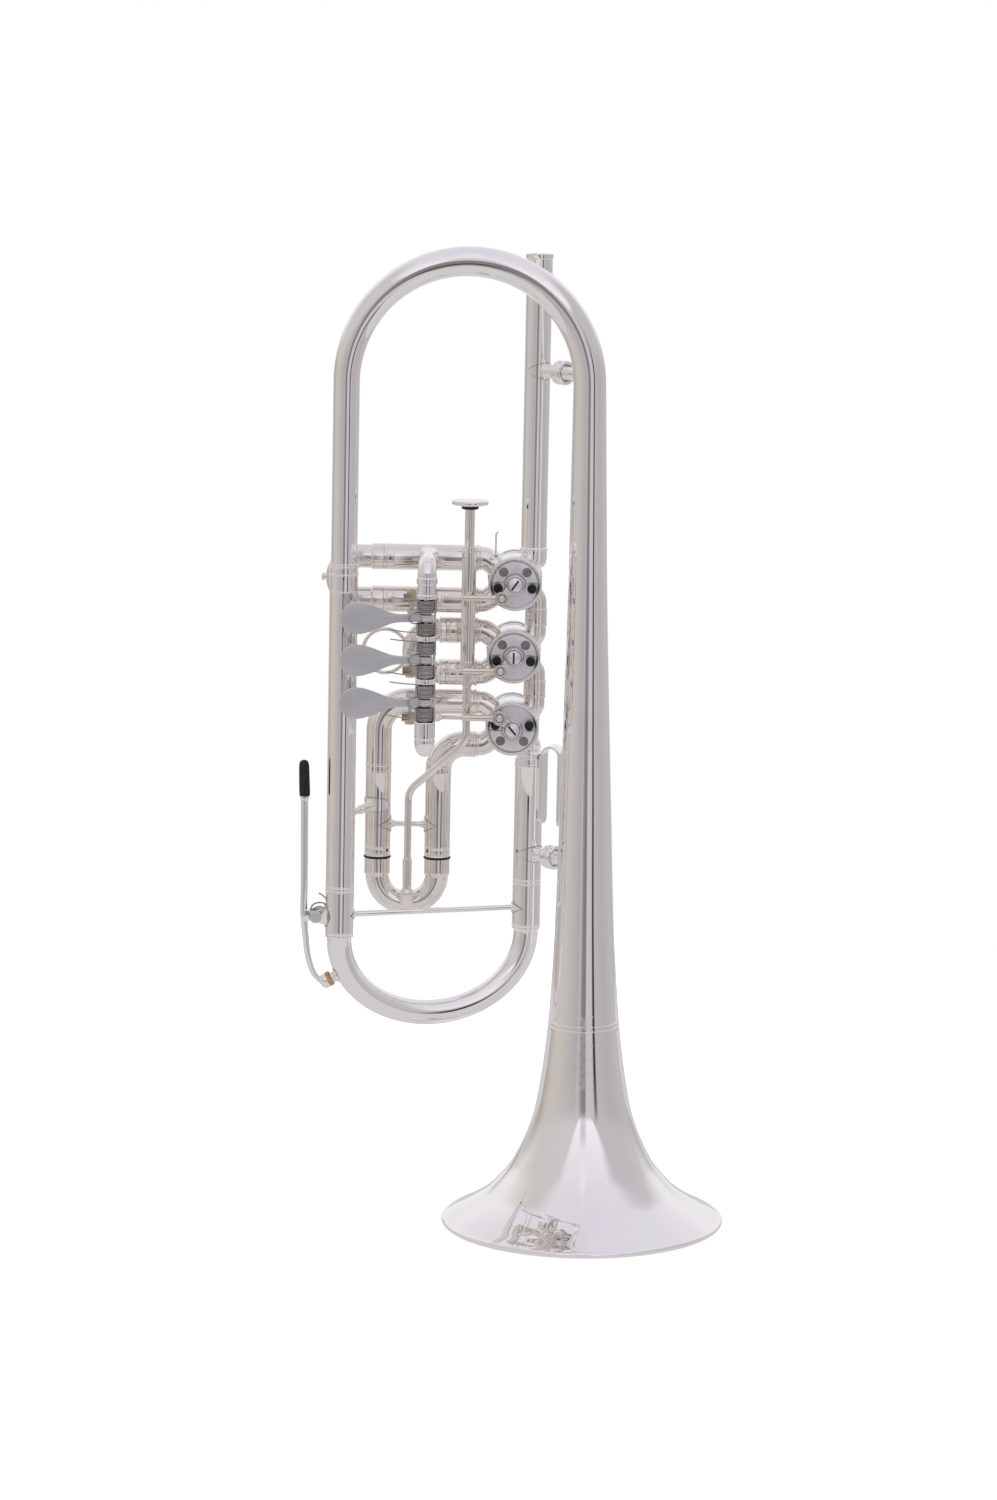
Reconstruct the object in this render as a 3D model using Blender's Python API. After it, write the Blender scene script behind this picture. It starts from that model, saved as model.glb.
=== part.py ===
"""Rotary-valve flugelhorn standing on its bell, built as separate sub-parts.

Lengths are written in millimetres and turned into metres by MM.
The bell axis is vertical. The tubes and valves lean a little towards +X, so they are laid out in a
frame of their own: U runs across the tubes, V runs back from the player's levers, W runs along
the tubes. Its origin is at the foot of the bell axis.
"""

import math

import bmesh
import bpy
from mathutils import Matrix, Quaternion, Vector

MM = 0.001
LEAN = math.radians(0.74)
GAP = 0.3
BELL_AXIS_X = 38.57

WALL = 0.8
BIG_SIDES = 12
SMALL_SIDES = 10
ROD_SIDES = 8
BELL_SIDES = 24
VALVE_SIDES = 16
BEND_STEP = math.radians(45)

# Bell: (height, outer radius) from the rim to the throat.
BELL_PROFILE = [
    (3.4, 73.4), (6.5, 68.0), (12.0, 59.0), (19.0, 49.7), (30.0, 40.0), (43.0, 32.9), (62.0, 26.1),
    (90.0, 21.3), (135.0, 17.3), (220.0, 14.0), (340.0, 10.5), (450.3, 8.7),
]
RIM_RADIUS = 74.4
RIM_BEAD = 1.62

# Main tubes.
BOW_W = 451.0
BOW_RADIUS = 63.7
BOW_U = -69.5
LEFT_U = BOW_U - BOW_RADIUS
LEAD_U = -33.1
EXIT_U = -33.2
PORT_V = 32.0
BOW_TUBE = 7.0
RECEIVER_TOP = 518.0
RECEIVER_LOW = 480.0
LEAD_FERRULE_W = 354.5
BOW_THROAT = 8.7
BRANCH_END_W = 355.3
SLIDE_SEAM_W = 179.0
FERRULE_END_W = 153.0
BOTTOM_BOW_DEPTH = 42.5
TUNING_LEG = 62.0
CROSS_ROD_W = 166.3
SLEEVE_OUT = 7.6
SLEEVE_IN = 6.95
INNER_OUT = 6.75
INNER_IN = 6.0

# Valves.
VALVE_U = -42.8
VALVE_PITCH = 38.95
VALVE_W = [344.2 - VALVE_PITCH * k for k in range(3)]
STOP_SIDE = [-1, -1, 1]
PORT_RISE = 11.4
CASING_R = 14.0
CASING_BORE = 11.4
CASING_FRONT = 17.5
CASING_BACK = 47.0
ROTOR_R = 11.1
JOURNAL_R = 2.6
PORT_R = 4.3
CRANK_R = 9.8
CRANK_ANGLE = math.radians(45)
LINK_V = 5.0

# Finger levers.
AXLE_U = -89.0
AXLE_R = 1.6
AXLE_LOW = 265.3
AXLE_HIGH = 346.2
LEVER_W = [329.9, 307.8, 285.2]
LEVER_REACH = 29.0
LEVER_REST = math.radians(17.04)
# The lever pin swings through an arc, so its middle depth is set on the push rods' plane.
AXLE_V = LINK_V - LEVER_REACH * (1 + math.cos(LEVER_REST)) / 2
PADDLE_TILT = math.radians(11)
COLLAR_R = 3.6
COLLAR_H = 3.6
POST_W = [319.2, 296.5]
POST_H = 2.8
TROUGH_OUT = 5.3
TROUGH_IN = 4.7
TROUGH_LOW = 266.0
TROUGH_HIGH = 343.2
ARM_W = 357.0

# Valve slides.
LEG_OUT = 6.9
LEG_IN = 6.35
TONGUE_OUT = 6.15
TONGUE_IN = 5.5
SLIDE1_SEAM_U = -113.0
SLIDE1_BOW_U = -126.4
SLIDE2_SEAM_U = -79.0
SLIDE2_BOW_U = -85.0
SLIDE3_LEFT_U = -114.3
SLIDE3_RIGHT_U = -82.0
SLIDE3_SEAM_W = 193.0
SLIDE3_BOW_W = 183.25
RING_U = -111.8
RING_RADIUS = 11.8
RING_WIRE = 1.05

# Third-slide trigger.
TRIGGER_U = -67.4
TRIGGER_V = 13.0
BUTTON_TOP_W = 388.6
GUIDE_LOW = 300.0
GUIDE_HIGH = 363.6
GUIDE_OUT = 3.85
GUIDE_IN = 2.95
SPRING_LOW = 301.5
SPRING_HIGH = 329.3

# Water key.
KEY_U = -145.7
KEY_W = 165.8
KEY_TIP_FOOT = Vector((-152.5, 0, 230.2))
# The drain nipple stands square to the bottom bow, and the cork and its cup are in line with it.
NIPPLE_ROOT = Vector((-128.9, 1.5, 135.7))
NIPPLE_AXIS = Vector((-0.886, 0, -0.464))


def uvw(u, v, w):
    return Vector((u, v, w))


# ---------------------------------------------------------------- scene helpers

def clear_scene():
    for obj in list(bpy.data.objects):
        bpy.data.objects.remove(obj, do_unlink=True)


def make_material(name, color, roughness, metallic):
    material = bpy.data.materials.new(name)
    material.use_nodes = True
    shader = material.node_tree.nodes["Principled BSDF"]
    shader.inputs["Base Color"].default_value = (*color, 1.0)
    shader.inputs["Roughness"].default_value = roughness
    shader.inputs["Metallic"].default_value = metallic
    return material


def make_empty(name, parent=None, location=(0, 0, 0)):
    empty = bpy.data.objects.new(name, None)
    bpy.context.scene.collection.objects.link(empty)
    empty.parent = parent
    empty.location = Vector(location) * MM
    return empty


clear_scene()
FINISH = {
    "silver": ((0.80, 0.78, 0.75), 0.10, 1.0),
    "satin": ((0.55, 0.55, 0.56), 0.35, 1.0),
    "brass": ((0.62, 0.52, 0.33), 0.30, 1.0),
    "steel": ((0.35, 0.33, 0.31), 0.30, 1.0),
    "rubber": ((0.02, 0.02, 0.02), 0.60, 0.0),
    "cork": ((0.45, 0.27, 0.14), 0.85, 0.0),
}

STAND = make_empty("stand", location=(BELL_AXIS_X, 0, 0))
TUBES = make_empty("tube_frame", parent=STAND)
TUBES.rotation_euler = (0, LEAN, 0)

CRANK_U = -CRANK_R * math.cos(CRANK_ANGLE)
CRANK_DROP = CRANK_R * math.sin(CRANK_ANGLE)
BALLS = [uvw(VALVE_U + CRANK_U, LINK_V, VALVE_W[k] + STOP_SIDE[k] * CRANK_DROP) for k in range(3)]
LEVER_PIN_U = AXLE_U - LEVER_REACH * math.sin(LEVER_REST)

PIVOTS = {
    "body": uvw(0, 0, 0),
    "slide1": uvw(SLIDE1_SEAM_U, PORT_V, VALVE_W[0]),
    "slide2": uvw(SLIDE2_SEAM_U, PORT_V, VALVE_W[1]),
    "slide3": uvw((SLIDE3_LEFT_U + SLIDE3_RIGHT_U) / 2, PORT_V, SLIDE3_SEAM_W),
    "tuning": uvw(LEFT_U, 0, SLIDE_SEAM_W),
    "water_key": uvw(KEY_U, 0, KEY_W),
}
for number in range(3):
    PIVOTS[f"lever{number + 1}"] = uvw(AXLE_U, AXLE_V, LEVER_W[number])
    PIVOTS[f"rotor{number + 1}"] = uvw(VALVE_U, PORT_V, VALVE_W[number])
    PIVOTS[f"link{number + 1}"] = BALLS[number]
EMPTIES = {name: make_empty(f"{name}_pivot", TUBES, place) for name, place in PIVOTS.items()}


def add_object(name, mesh_data, finish, body="body", parent=None):
    """Wraps a bmesh, drawn in tube-frame millimetres, as an object that hangs on its body's pivot."""
    shift = Vector((0, 0, 0)) if parent else PIVOTS[body]
    for vert in mesh_data.verts:
        vert.co = (vert.co - shift) * MM
    bmesh.ops.recalc_face_normals(mesh_data, faces=mesh_data.faces)
    mesh = bpy.data.meshes.new(name)
    mesh_data.to_mesh(mesh)
    mesh_data.free()
    mesh.shade_smooth()
    mesh.set_sharp_from_angle(angle=math.radians(35))
    if finish not in bpy.data.materials:
        make_material(finish, *FINISH[finish])
    mesh.materials.append(bpy.data.materials[finish])
    obj = bpy.data.objects.new(name, mesh)
    bpy.context.scene.collection.objects.link(obj)
    obj.parent = parent or EMPTIES[body]
    return obj


def add_helper(name, mesh_data, body="body"):
    helper = add_object(name, mesh_data, "silver", body)
    helper.hide_render = True
    helper.display_type = "WIRE"
    return helper


def combine(target, helpers, operation):
    for helper in helpers:
        modifier = target.modifiers.new(helper.name, "BOOLEAN")
        modifier.object = helper
        modifier.operation = operation
        modifier.solver = "EXACT"


# ---------------------------------------------------------------- mesh makers

def loft_rings(mesh, rings):
    """Joins equally long rings of vertices with quads."""
    for first, second in zip(rings, rings[1:]):
        for side in range(len(first)):
            other = (side + 1) % len(first)
            mesh.faces.new((first[side], first[other], second[other], second[side]))


def ring_points(centre, across, up, radius, sides):
    for side in range(sides):
        angle = 2 * math.pi * (side + 0.5) / sides
        yield centre + across * (radius * math.cos(angle)) + up * (radius * math.sin(angle))


def path_frames(points):
    """The tangent and two cross directions at each point, turned as little as possible."""
    tangents = []
    for index, point in enumerate(points):
        before = points[max(index - 1, 0)]
        after = points[min(index + 1, len(points) - 1)]
        into = (point - before).normalized() if index else (after - point).normalized()
        out = (after - point).normalized() if index < len(points) - 1 else into
        tangents.append((into + out).normalized())
    guide = Vector((0, 1, 0)) if abs(tangents[0].y) < 0.8 else Vector((1, 0, 0))
    across = tangents[0].cross(guide).normalized()
    frames = []
    for index, tangent in enumerate(tangents):
        if index:
            across = tangents[index - 1].rotation_difference(tangent) @ across
        across = (across - tangent * across.dot(tangent)).normalized()
        frames.append((tangent, across, tangent.cross(across)))
    return frames


def bent_path(corners, bends, step=BEND_STEP):
    """Straight runs between corners, rounded to the given bend radii."""
    points = [corners[0]]
    for index, bend in enumerate(bends, start=1):
        corner = corners[index]
        into = (corner - corners[index - 1]).normalized()
        out = (corners[index + 1] - corner).normalized()
        turn = into.angle(out)
        reach = bend * math.tan(turn / 2)
        inward = (out - into).normalized()
        centre = corner + inward * (bend / math.cos(turn / 2))
        start = corner - into * reach
        axis = into.cross(out).normalized()
        pieces = math.ceil(turn / step)
        for piece in range(pieces + 1):
            spin = Quaternion(axis, turn * piece / pieces)
            points.append(centre + spin @ (start - centre))
    points.append(corners[-1])
    kept = [points[0]]
    for point in points[1:]:
        if (point - kept[-1]).length > 0.05:
            kept.append(point)
    return kept


def value_at(steps, distance):
    """Reads a piecewise-linear list of (distance, value)."""
    if distance <= steps[0][0]:
        return steps[0][1]
    for (low, first), (high, second) in zip(steps, steps[1:]):
        if distance <= high:
            return first + (second - first) * (distance - low) / (high - low)
    return steps[-1][1]


def stations_along(points, profile):
    """Path points plus a point at each profile step, with the distance of each from the start."""
    distances = [0.0]
    for first, second in zip(points, points[1:]):
        distances.append(distances[-1] + (second - first).length)
    wanted = set(distances)
    for distance, _ in profile:
        if 0 < distance < distances[-1] and min(abs(distance - known) for known in wanted) > 0.05:
            wanted.add(distance)
    placed = []
    for distance in sorted(wanted):
        index = 0
        while index < len(distances) - 2 and distances[index + 1] < distance:
            index += 1
        share = (distance - distances[index]) / (distances[index + 1] - distances[index])
        placed.append((points[index].lerp(points[index + 1], share), distance))
    return placed


def pipe_mesh(points, outer, inner=None, sides=BIG_SIDES):
    """A pipe along points. outer and inner list (distance, radius); without inner it is solid."""
    mesh = bmesh.new()
    walls = []
    for profile in [outer] + ([inner] if inner else []):
        placed = stations_along(points, profile)
        frames = path_frames([point for point, _ in placed])
        rings = []
        for (point, distance), (_, across, up) in zip(placed, frames):
            radius = value_at(profile, distance)
            rings.append([mesh.verts.new(co) for co in ring_points(point, across, up, radius, sides)])
        loft_rings(mesh, rings)
        walls.append(rings)
    for end in (0, -1):
        if inner:
            loft_rings(mesh, [walls[0][end], walls[1][end]])
        else:
            mesh.faces.new(walls[0][end])
    return mesh


def lathe_mesh(profile, origin, axis, sides=BIG_SIDES):
    """Turns a closed outline of (radius, height) about an axis. Radius 0 lies on the axis."""
    axis = axis.normalized()
    guide = Vector((0, 0, 1)) if abs(axis.z) < 0.8 else Vector((1, 0, 0))
    across = axis.cross(guide).normalized()
    up = axis.cross(across)
    mesh = bmesh.new()
    rings = []
    for radius, height in profile:
        centre = origin + axis * height
        if radius < 1e-6:
            rings.append([mesh.verts.new(centre)] * sides)
        else:
            rings.append([mesh.verts.new(co) for co in ring_points(centre, across, up, radius, sides)])
    for index, first in enumerate(rings):
        second = rings[(index + 1) % len(rings)]
        if first[0] is first[1] and second[0] is second[1]:
            continue
        for side in range(sides):
            other = (side + 1) % sides
            corners = []
            for vert in (first[side], first[other], second[other], second[side]):
                if vert not in corners:
                    corners.append(vert)
            mesh.faces.new(corners)
    return mesh


def rod_mesh(start, end, radius, sides=SMALL_SIDES):
    length = (end - start).length
    return lathe_mesh([(0, 0), (radius, 0), (radius, length), (0, length)], start, end - start, sides)


def box_mesh(low, high):
    mesh = bmesh.new()
    bmesh.ops.create_cube(mesh, size=1)
    for vert in mesh.verts:
        vert.co = Vector([(a + b) / 2 + c * (b - a) for a, b, c in zip(low, high, vert.co)])
    return mesh


def plate_mesh(outline, place, thickness):
    """Extrudes a flat outline of (x, y) pairs. place puts x, y and thickness into the tube frame."""
    mesh = bmesh.new()
    verts = [mesh.verts.new((x, y, -thickness / 2)) for x, y in outline]
    face = mesh.faces.new(verts)
    raised = bmesh.ops.extrude_face_region(mesh, geom=[face])["geom"]
    for item in raised:
        if isinstance(item, bmesh.types.BMVert):
            item.co.z = thickness / 2
    bmesh.ops.transform(mesh, matrix=place, verts=mesh.verts)
    return mesh


def placed_along(origin, x_axis, y_axis, z_axis):
    """The matrix that puts a flat outline's x, y and thickness along the three axes."""
    return Matrix.Translation(origin) @ Matrix((x_axis, y_axis, z_axis)).transposed().to_4x4()


def joined(name, meshes, finish, body="body", parent=None):
    """One object made of the first mesh and the Boolean union of the rest."""
    target = add_object(name, meshes[0], finish, body, parent)
    helpers = [add_helper(f"{name}_add{index}", mesh, body) for index, mesh in enumerate(meshes[1:])]
    combine(target, helpers, "UNION")
    return target


def trim_by_casings(target, numbers):
    for number in numbers:
        combine(target, [CASING_CUTTERS[number]], "DIFFERENCE")


def make_casing_cutters():
    cutters = []
    for number in range(3):
        start = uvw(VALVE_U, CASING_FRONT - 2, VALVE_W[number])
        end = uvw(VALVE_U, CASING_BACK + 2, VALVE_W[number])
        cylinder = rod_mesh(start, end, CASING_R + 0.6, VALVE_SIDES)
        cutters.append(add_helper(f"casing_cutter_{number + 1}", cylinder))
    return cutters


CASING_CUTTERS = make_casing_cutters()


def port_start(number, degrees):
    """A point inside valve casing `number`, in the direction of one of its ports."""
    angle = math.radians(degrees)
    return uvw(VALVE_U + 9 * math.cos(angle), PORT_V, VALVE_W[number] + 9 * math.sin(angle))


def raised_rings(length, base, rings):
    """An outer profile of constant radius with raised bands, each (start, end, radius)."""
    steps = [(0, base)]
    for start, end, radius in rings:
        steps += [(start - 0.2, base), (start, radius), (end, radius), (end + 0.2, base)]
    return steps + [(length, base)]


# ---------------------------------------------------------------- bell and bows

def wall_offset(profile, thickness):
    """The inner line of a turned wall, measured square to its outer line."""
    inner = []
    for index, (height, radius) in enumerate(profile):
        low = profile[max(index - 1, 0)]
        high = profile[min(index + 1, len(profile) - 1)]
        along = Vector((high[1] - low[1], high[0] - low[0])).normalized()
        if index in (0, len(profile) - 1):
            inner.append((radius - thickness / along.y, height))
        else:
            inner.append((radius - thickness * along.y, height + thickness * along.x))
    return inner


def build_bell():
    outer = [(radius, height) for height, radius in BELL_PROFILE]
    inner = wall_offset(BELL_PROFILE, WALL)
    mesh = lathe_mesh(outer + inner[::-1], uvw(0, 0, 0), Vector((0, 0, 1)), BELL_SIDES)
    add_object("bell", mesh, "silver", parent=STAND)


def bead_profile(radius, wire, height):
    """Six-sided section of a round wire bent to a ring, with a flat on each side along the axis."""
    profile = []
    for side in range(6):
        angle = 2 * math.pi * side / 6
        profile.append((radius + wire * math.cos(angle), height + wire * math.sin(angle)))
    return profile


def build_rim_ring():
    """The rolled rim. Its lower flat is what the instrument stands on."""
    bead = bead_profile(RIM_RADIUS, RIM_BEAD, RIM_BEAD * math.cos(math.pi / 6))
    mesh = lathe_mesh(bead, uvw(0, 0, 0), Vector((0, 0, 1)), BELL_SIDES)
    add_object("bell_rim_ring", mesh, "silver", parent=STAND)


def build_bell_bow():
    """From the branch ferrule up the left side and over the top to the bell throat."""
    points = [uvw(LEFT_U, 0, BRANCH_END_W + GAP)]
    turn = math.pi - LEAN
    steps = 12
    for index in range(steps + 1):
        angle = math.pi - turn * index / steps
        points.append(uvw(BOW_U + BOW_RADIUS * math.cos(angle), 0, BOW_W + BOW_RADIUS * math.sin(angle)))
    straight = BOW_W - BRANCH_END_W - GAP
    arc = turn * BOW_RADIUS
    outer = [(0, BOW_TUBE), (straight, BOW_TUBE), (straight + arc, BOW_THROAT)]
    inner = [(0, BOW_TUBE - WALL), (straight, BOW_TUBE - WALL), (straight + arc, BOW_THROAT - WALL)]
    add_object("bell_bow", pipe_mesh(points, outer, inner), "silver")


def build_left_sleeve():
    low = uvw(LEFT_U, 0, SLIDE_SEAM_W + GAP / 2)
    high = uvw(LEFT_U, 0, BRANCH_END_W)
    length = (high - low).length
    rings = [(0.3, 2.6, SLEEVE_OUT + 0.5), (length - 15.5, length - 14.5, SLEEVE_OUT + 0.3)]
    rings.append((length - 6.4, length - 1.7, SLEEVE_OUT + 0.6))
    outer = raised_rings(length, SLEEVE_OUT, rings)
    inner = [(0, SLEEVE_IN), (length, SLEEVE_IN)]
    add_object("tuning_sleeve_left", pipe_mesh([low, high], outer, inner), "silver")


def build_exit_tube():
    corners = [port_start(2, -40), uvw(EXIT_U, PORT_V, 255.0), uvw(EXIT_U, PORT_V, SLIDE_SEAM_W + GAP / 2)]
    points = bent_path(corners, [8.0])
    length = sum((b - a).length for a, b in zip(points, points[1:]))
    outer = [
        (0, 5.8), (10, 6.2), (13, SLEEVE_OUT), (length - 2.8, SLEEVE_OUT), (length - 2.6, SLEEVE_OUT + 0.5),
    ]
    inner = [(0, 5.0), (12, 5.2), (16, SLEEVE_IN), (length, SLEEVE_IN)]
    tube = add_object("valve_exit_tube", pipe_mesh(points, outer, inner), "silver")
    trim_by_casings(tube, [2])


def build_leadpipe():
    corners = [port_start(0, 40), uvw(LEAD_U, PORT_V, 356.0), uvw(LEAD_U, PORT_V, RECEIVER_LOW - GAP)]
    points = bent_path(corners, [6.0])
    length = sum((b - a).length for a, b in zip(points, points[1:]))
    ring = length - (RECEIVER_LOW - GAP - LEAD_FERRULE_W)
    outer = [
        (0, 5.8), (6.0, 6.2), (ring - 0.3, 6.9), (ring, 7.6), (ring + 7.2, 7.6), (ring + 7.5, 6.9),
        (length, 6.9),
    ]
    pipe = add_object("leadpipe", pipe_mesh(points, outer, [(0, 5.0), (length, 5.4)]), "silver")
    trim_by_casings(pipe, [0])


def build_receiver():
    """The socket at the top of the leadpipe, thicker at its mouth."""
    top = RECEIVER_TOP
    profile = [
        (4.9, RECEIVER_LOW), (6.9, RECEIVER_LOW), (6.9, top - 11.4),
        (7.4, top - 11.2), (7.4, top), (5.6, top),
    ]
    mesh = lathe_mesh(profile, uvw(LEAD_U, PORT_V, 0), Vector((0, 0, 1)))
    add_object("mouthpiece_receiver", mesh, "silver")


def bottom_bow_points():
    """Left leg, flattened half round that crosses from the bell plane to the port plane, right leg."""
    left = uvw(LEFT_U, 0, FERRULE_END_W)
    right = uvw(EXIT_U, PORT_V, FERRULE_END_W)
    middle = (left + right) / 2
    half = (right - left) / 2
    steps = 10
    points = [left + uvw(0, 0, TUNING_LEG)]
    for index in range(steps + 1):
        angle = math.pi * index / steps
        points.append(middle - half * math.cos(angle) - uvw(0, 0, BOTTOM_BOW_DEPTH * math.sin(angle)))
    points.append(right + uvw(0, 0, TUNING_LEG))
    return points


def cross_rod_mesh():
    """The pull rod between the two legs, with a flange at each end."""
    left = uvw(LEFT_U, 0, CROSS_ROD_W)
    right = uvw(EXIT_U, PORT_V, CROSS_ROD_W)
    along = (right - left).normalized()
    start = left + along * (SLEEVE_OUT - 0.5)
    length = (right - left).length - 2 * (SLEEVE_OUT - 0.5)
    profile = [
        (0, 0), (3.4, 0), (3.4, 1.2), (1.6, 6.0),
        (1.6, length - 6.0), (3.4, length - 1.2), (3.4, length), (0, length),
    ]
    return lathe_mesh(profile, start, along, SMALL_SIDES)


def build_tuning_slide():
    points = bottom_bow_points()
    length = sum((b - a).length for a, b in zip(points, points[1:]))
    seam = TUNING_LEG - (SLIDE_SEAM_W - GAP / 2 - FERRULE_END_W)
    ferrule = [
        (seam - 0.02, INNER_OUT), (seam + 0.08, SLEEVE_OUT),
        (TUNING_LEG - 0.4, SLEEVE_OUT), (TUNING_LEG + 0.2, INNER_OUT + 0.1),
    ]
    mirrored = [(length - distance, radius) for distance, radius in reversed(ferrule)]
    outer = [(0, INNER_OUT)] + ferrule + mirrored + [(length, INNER_OUT)]
    bow = pipe_mesh(points, outer, [(0, INNER_IN), (length, INNER_IN)])
    nipple = rod_mesh(NIPPLE_ROOT + NIPPLE_AXIS * 3.5, NIPPLE_ROOT + NIPPLE_AXIS * 9.0, 3.2)
    joined("tuning_slide_bow", [bow, nipple, cross_rod_mesh()], "silver", "tuning")


# ---------------------------------------------------------------- valves

def port_directions():
    for quarter in range(4):
        angle = math.radians(45 + 90 * quarter)
        yield Vector((math.cos(angle), 0, math.sin(angle)))


def build_casing(number):
    centre = uvw(VALVE_U, 0, VALVE_W[number])
    profile = [
        (CASING_BORE, CASING_FRONT), (CASING_R, CASING_FRONT),
        (CASING_R, CASING_BACK), (CASING_BORE, CASING_BACK),
    ]
    shell = lathe_mesh(profile, centre, Vector((0, 1, 0)), VALVE_SIDES)
    casing = add_object(f"valve_casing_{number + 1}", shell, "silver")
    middle = uvw(VALVE_U, PORT_V, VALVE_W[number])
    cutters = []
    for index, direction in enumerate(port_directions()):
        mesh = rod_mesh(middle + direction * 8, middle + direction * 18, PORT_R, ROD_SIDES)
        cutters.append(add_helper(f"casing_{number + 1}_port_{index}", mesh))
    combine(casing, cutters, "DIFFERENCE")


def rotor_passage(number, side):
    """A quarter-circle tunnel that joins two neighbouring ports."""
    reach = ROTOR_R * math.sqrt(2)
    points = []
    for index in range(4):
        angle = math.radians(-60 + 40 * index)
        radial = Vector((-side * math.cos(angle), 0, math.sin(angle))) * ROTOR_R
        points.append(uvw(VALVE_U + side * reach, PORT_V, VALVE_W[number]) + radial)
    return pipe_mesh(points, [(0, 3.4), (40, 3.4)], sides=ROD_SIDES)


def build_rotor(number):
    """The turning plug, with its front and rear journals and the hole for the stop screw."""
    origin = uvw(VALVE_U, 0, VALVE_W[number])
    profile = [
        (0, 14.0), (1.5, 14.0), (1.5, 8.9), (JOURNAL_R, 8.9), (JOURNAL_R, 20.6), (ROTOR_R, 20.6),
        (ROTOR_R, 43.4), (JOURNAL_R, 43.4), (JOURNAL_R, 48.8), (0, 48.8),
    ]
    body = f"rotor{number + 1}"
    plug = lathe_mesh(profile, origin, Vector((0, 1, 0)), VALVE_SIDES)
    rotor = add_object(f"valve_rotor_{number + 1}", plug, "brass", body)
    cutters = []
    for index, side in enumerate((-1, 1)):
        cutters.append(add_helper(f"rotor_{number + 1}_passage_{index}", rotor_passage(number, side), body))
    combine(rotor, cutters, "DIFFERENCE")


def build_stop_plate(number):
    """Front bearing plate: a rimmed dish whose half away from the stop arm is raised."""
    origin = uvw(VALVE_U, 0, VALVE_W[number])
    profile = [
        (2.8, 20.2), (2.8, 13.5), (12.8, 13.5), (13.0, 11.6),
        (14.25, 11.6), (14.25, 17.2), (11.1, 17.2), (11.1, 20.2),
    ]
    dish = lathe_mesh(profile, origin, Vector((0, 1, 0)), VALVE_SIDES)
    away = -STOP_SIDE[number]
    start = math.radians(8)
    outline = []
    for index in range(8):
        angle = start + (math.pi - 2 * start) * index / 7
        outline.append((13.1 * math.cos(angle), away * 13.1 * math.sin(angle)))
    place = Matrix.Translation(uvw(VALVE_U, 12.8, VALVE_W[number])) @ Matrix.Rotation(math.pi / 2, 4, "X")
    shelf = plate_mesh(outline, place, 1.8)
    plate = joined(f"stop_plate_{number + 1}", [dish, shelf], "satin")
    bore = rod_mesh(origin + uvw(0, 10, 0), origin + uvw(0, 13.75, 0), 5.6, VALVE_SIDES)
    combine(plate, [add_helper(f"stop_plate_{number + 1}_hub_space", bore)], "DIFFERENCE")


def build_valve_cap(number):
    """Rear bearing and screw cap in one turned piece, with a blind hole for the journal."""
    origin = uvw(VALVE_U, 0, VALVE_W[number])
    profile = [
        (0, 49.4), (2.8, 49.4), (2.8, 43.8), (11.1, 43.8), (11.1, 47.3),
        (14.6, 47.3), (14.6, 50.6), (13.8, 51.6), (0, 51.6),
    ]
    mesh = lathe_mesh(profile, origin, Vector((0, 1, 0)), VALVE_SIDES)
    add_object(f"valve_cap_{number + 1}", mesh, "silver")


def build_stop_arm(number):
    """Hub on the front journal, arm and ball stud."""
    body = f"rotor{number + 1}"
    origin = uvw(VALVE_U, 0, VALVE_W[number])
    ring = [(2.9, 8.9), (5.1, 8.9), (5.1, 12.9), (2.9, 12.9)]
    hub = lathe_mesh(ring, origin, Vector((0, 1, 0)), VALVE_SIDES)
    ball = BALLS[number]
    along = uvw(ball.x - VALVE_U, 0, ball.z - VALVE_W[number]).normalized()
    across = along.cross(Vector((0, 1, 0)))
    outline = [
        (4.2, -2.6), (8.6, -2.2), (11.0, -2.6), (12.4, -1.6), (12.9, 0),
        (12.4, 1.6), (11.0, 2.6), (8.6, 2.2), (4.2, 2.6),
    ]
    place = placed_along(origin + uvw(0, 10.0, 0), along, across, Vector((0, 1, 0)))
    arm = plate_mesh(outline, place, 2.0)
    stud_origin = uvw(ball.x, 0, ball.z)
    profile = [(0, 2.9), (1.3, 3.3), (2.1, 4.3), (2.1, 5.7), (1.3, 6.8), (1.3, 10.2), (0, 10.2)]
    stud = lathe_mesh(profile, stud_origin, Vector((0, 1, 0)), SMALL_SIDES)
    joined(f"stop_arm_{number + 1}", [hub, arm, stud], "satin", body)


def build_stop_screw(number):
    body = f"rotor{number + 1}"
    origin = uvw(VALVE_U, 0, VALVE_W[number])
    profile = [(0, 6.4), (3.0, 6.5), (4.1, 7.1), (4.1, 8.6), (1.2, 8.6), (1.2, 13.6), (0, 13.6)]
    head = lathe_mesh(profile, origin, Vector((0, 1, 0)), VALVE_SIDES)
    screw = add_object(f"stop_screw_{number + 1}", head, "satin", body)
    slot_tilt = math.radians((-35, 0, 40)[number])
    turn = Matrix.Translation(origin + uvw(0, 6.4, 0)) @ Matrix.Rotation(-slot_tilt, 4, "Y")
    slot = box_mesh((-0.4, -1, -5), (0.4, 0.7, 5))
    bmesh.ops.transform(slot, matrix=turn, verts=slot.verts)
    combine(screw, [add_helper(f"stop_screw_{number + 1}_slot", slot, body)], "DIFFERENCE")


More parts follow.
